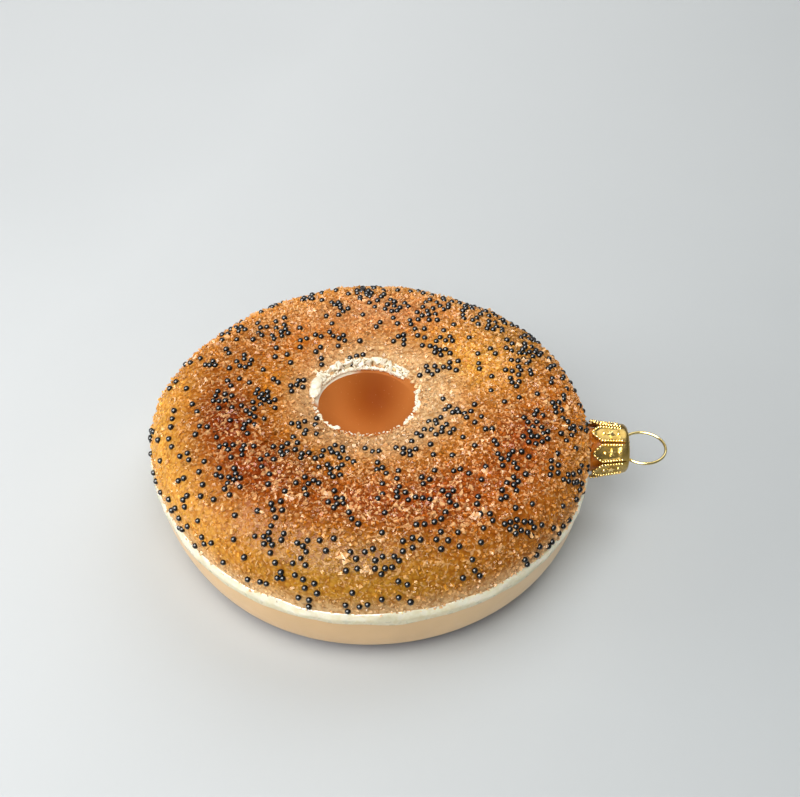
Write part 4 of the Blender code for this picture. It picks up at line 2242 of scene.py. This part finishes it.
    def dots_on_petal(self) -> list[tuple[float, float, float]]:
        """Returns (across, way, size) of one petal's edge beads and its dots.

        Returns:
            The beads and dots, which are the same on every petal.
        """
        points = []
        for side in (-1, 1):
            way = self.point * self.bead_start
            while way < self.wall - self.bead_stop:
                half = self.half_angle(way) * self.meridian(way)[1]
                across = side * max(half - self.bead_inset, 0.0) / max(half, MM / 100)
                points.append((across, way, self.bead))
                way += self.side_pitch if way > self.point else self.tip_pitch
        return points + [(0.0, self.wall * share, size) for share, size in self.dots]

    def emboss(self) -> None:
        """Adds the beaded edges, the dots and the stars, all pressed out of the sheet."""
        places, sizes, stars = [], [], []
        points = self.dots_on_petal()
        for number in range(self.petals):
            turn = self.petal_turn(number)
            for across, way, size in points:
                place, _ = self.spot(across, way, -self.sunk(across, way) * self.pressed)
                places.append(self.axis + turn @ place)
                sizes.append([size] * 3)
            place, outward = self.spot(0.0, self.wall * self.star_place, -self.recess)
            stars.append(self.star(self.axis + turn @ place, turn @ outward, number))
        turns = random_turns(np.random.default_rng(self.seed), len(places))
        beads = strewn("cap_dots", grain_template(Template.BEAD), np.array(places), turns,
                       np.array(sizes), True)
        work = joined("cap_embossing", [beads, *stars])
        # Painted highlight: the raised beads, dots and stars get a paler gold than the sheet they
        # are pressed from.
        finish = GoldFinish("gold_embossing", (248, 218, 146), (226, 190, 104), 0.14)
        dress(work, finish.make())
        hand_over(work, "gold_cap")

    def star(self, place: Vector, outward: Vector, number: int) -> Piece:
        """Makes one raised star lying on the sheet.

        Args:
            place: The star's middle.
            outward: The sheet's outward direction there.
            number: Which petal it is on.

        Returns:
            The star.
        """
        clear_bench()
        bpy.ops.mesh.primitive_cylinder_add(vertices=2 * self.star_points,
                                            radius=self.star_radius, depth=self.star_depth)
        star = bpy.context.object
        step = math.pi / self.star_points
        for vertex in star.data.vertices:
            if round(math.atan2(vertex.co.x, vertex.co.y) / step) % 2:
                vertex.co.x *= self.star_notch
                vertex.co.y *= self.star_notch
        top = [face.index for face in star.data.polygons if face.normal.z > UPRIGHT]
        picked(star, Part.FACES, top)
        bpy.ops.mesh.poke(offset=self.star_peak)
        clear_bench()
        star.matrix_world = (Matrix.Translation(place)
                             @ outward.to_track_quat("Z", "Y").to_matrix().to_4x4())
        bpy.context.view_layer.update()
        take(star)
        return settled(f"star_{number}")


@dataclass
class WireLoop:
    """The hanging loop, with legs that spring apart inside the neck."""

    steps: int = 128
    sides: int = 16
    leg_steps: int = 10
    overlap: float = 0.1 * MM
    pinch: float = 0.5 * MM
    pinch_share: float = 0.8
    lean: float = 0.1 * MM

    def build(self) -> None:
        """Cuts a ring open at the cap and draws its two ends out into legs."""
        low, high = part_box("wire_loop")
        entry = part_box("crown_cap")[1].x - self.overlap
        thick = high.z - low.z
        radius = (high.y - low.y - thick) / 2
        middle = Vector((high.x - thick / 2 - radius, 0.0, (low.z + high.z) / 2))
        clear_bench()
        bpy.ops.mesh.primitive_torus_add(
            major_segments=self.steps, minor_segments=self.sides, major_radius=radius,
            minor_radius=thick / 2, location=middle)
        opened(bpy.context.object)
        bpy.ops.mesh.bisect(plane_co=(entry, 0, 0), plane_no=(1, 0, 0), clear_inner=True,
                            threshold=WELD / 10)
        wire = settled("wire_loop_gold")
        for side in (1, -1):
            self.draw_leg(wire, side, entry, low.x + thick / 2)
        opened(wire)
        bpy.ops.mesh.normals_make_consistent(inside=False)
        bpy.ops.mesh.faces_shade_smooth()
        clear_bench()
        dress(wire, GoldFinish("gold_wire", (208, 192, 138), (176, 156, 94), 0.16).make())
        hand_over(wire, "gold_wire", "wire_loop")

    def draw_leg(self, wire: Piece, side: int, entry: float, end: float) -> None:
        """Extrudes one open end of the wire through the cap to its tip in the neck.

        Args:
            wire: The wire.
            side: 1 for the leg on +Y, -1 for the other.
            entry: Where the open end is, along X.
            end: Where the leg's tip is, along X.
        """
        rim = [vertex for vertex in wire.data.vertices
               if abs(vertex.co.x - entry) < WELD and vertex.co.y * side > 0]
        start = sum((vertex.co for vertex in rim), Vector()) / len(rim)
        picked(wire, Part.POINTS, [vertex.index for vertex in rim])
        place = start
        for step in range(1, self.leg_steps + 1):
            share = step / self.leg_steps
            pinch = self.pinch * math.sin(math.pi * min(share / self.pinch_share, 1.0))
            across = (abs(start.y) - pinch - self.lean * share) * side
            target = Vector((start.x + (end - start.x) * share, across, start.z))
            bpy.ops.mesh.extrude_region_move(
                TRANSFORM_OT_translate={"value": target - place})
            place = target
        bpy.ops.mesh.edge_face_add()
        clear_bench()


# ---- Studio ----


@dataclass(frozen=True)
class Lamp:
    """A square light that faces the object: offset and side in metres, power in watts.

    The offset is measured from the object. A lamp that isn't soft only makes highlights.
    """

    name: str
    offset: tuple[float, float, float]
    side: float
    power: float
    colour: Rgb = (1.0, 1.0, 0.99)
    soft: bool = True
    highlights: bool = True

    def hang(self, subject: Vector) -> None:
        """Hangs the lamp at its place from the object.

        Args:
            subject: The object's middle.
        """
        data = bpy.data.lights.new(self.name, "AREA")
        data.size = self.side
        data.energy = self.power
        data.color = self.colour
        lamp = bpy.data.objects.new(self.name, data)
        offset = Vector(self.offset)
        lamp.location = subject + offset
        lamp.rotation_euler = (-offset).to_track_quat("-Z", "Y").to_euler()
        lamp.visible_diffuse = self.soft
        lamp.visible_glossy = self.highlights
        bpy.context.scene.collection.objects.link(lamp)


@dataclass
class Studio:
    """A plain pale floor, soft light from the front, the left and the back, a lamp that
    only makes highlights, and a camera that looks down.
    """

    subject: Vector
    lamps: tuple[Lamp, ...] = (
        Lamp("front", (-0.12, -0.42, 0.72), 0.75, 6.0, highlights=False),
        Lamp("left", (-0.65, -0.05, 0.17), 0.30, 1.75),
        Lamp("back", (0.25, 0.35, 0.62), 0.60, 2.5, (1.0, 0.99, 0.98)),
        Lamp("glint", (-0.38, -0.38, 0.68), 0.95, 56.0, (1.0, 1.0, 1.0), soft=False),
    )
    sky: Rgba = (1.0, 0.98, 0.95, 1.0)
    sky_strength: float = 0.18
    elevation: float = 43.5
    distance: float = 275 * MM
    lens: float = 67.5
    aim_right: float = 5.5 * MM
    aim_up: float = 8.5 * MM
    clip: Span = (0.01, 20.0)
    floor_size: float = 6.0

    def build(self) -> None:
        """Sets up the floor, the lights, the world and the camera."""
        self.floor()
        self.world()
        for lamp in self.lamps:
            lamp.hang(self.subject)
        self.camera()
        bpy.context.scene.view_settings.view_transform = "Standard"

    def floor(self) -> None:
        """Lays the floor."""
        clear_bench()
        bpy.ops.mesh.primitive_plane_add(size=self.floor_size)
        floor = settled("floor")
        dress(floor, FloorFinish().make())

    def world(self) -> None:
        """Fills the room with even pale light."""
        world = bpy.data.worlds.new("room")
        world.use_nodes = True
        background = world.node_tree.nodes["Background"]
        background.inputs["Color"].default_value = self.sky
        background.inputs["Strength"].default_value = self.sky_strength
        bpy.context.scene.world = world

    def camera(self) -> None:
        """Places the camera and makes it the scene's own."""
        slope = math.radians(self.elevation)
        back = Vector((0.0, -math.cos(slope), math.sin(slope)))
        up = Vector((0.0, math.sin(slope), math.cos(slope)))
        aim = self.subject + Vector((self.aim_right, 0.0, 0.0)) + up * self.aim_up
        data = bpy.data.cameras.new("camera")
        data.lens = self.lens
        data.clip_start, data.clip_end = self.clip
        camera = bpy.data.objects.new("camera", data)
        camera.location = self.subject + back * self.distance
        look = aim - camera.location
        camera.rotation_euler = look.to_track_quat("-Z", "Y").to_euler()
        bpy.context.scene.collection.objects.link(camera)
        bpy.context.scene.camera = camera


def main() -> None:
    """Makes every piece in order."""
    logging.basicConfig(level=logging.INFO, format="%(name)s: %(message)s")
    shape = BodyShape()
    paint = CrustPaint()
    crust = CrustMap(shape)
    beads = SeedBeads(crust)
    BlownBody(shape, paint).build()
    beads.build()
    CrushedGlass(crust, paint, beads).build()
    CreamLine(shape).build()
    CrumbPaste(shape).build()
    PetalCap().build()
    WireLoop().build()
    Studio(shape.middle).build()


if __name__ == "__main__":
    main()
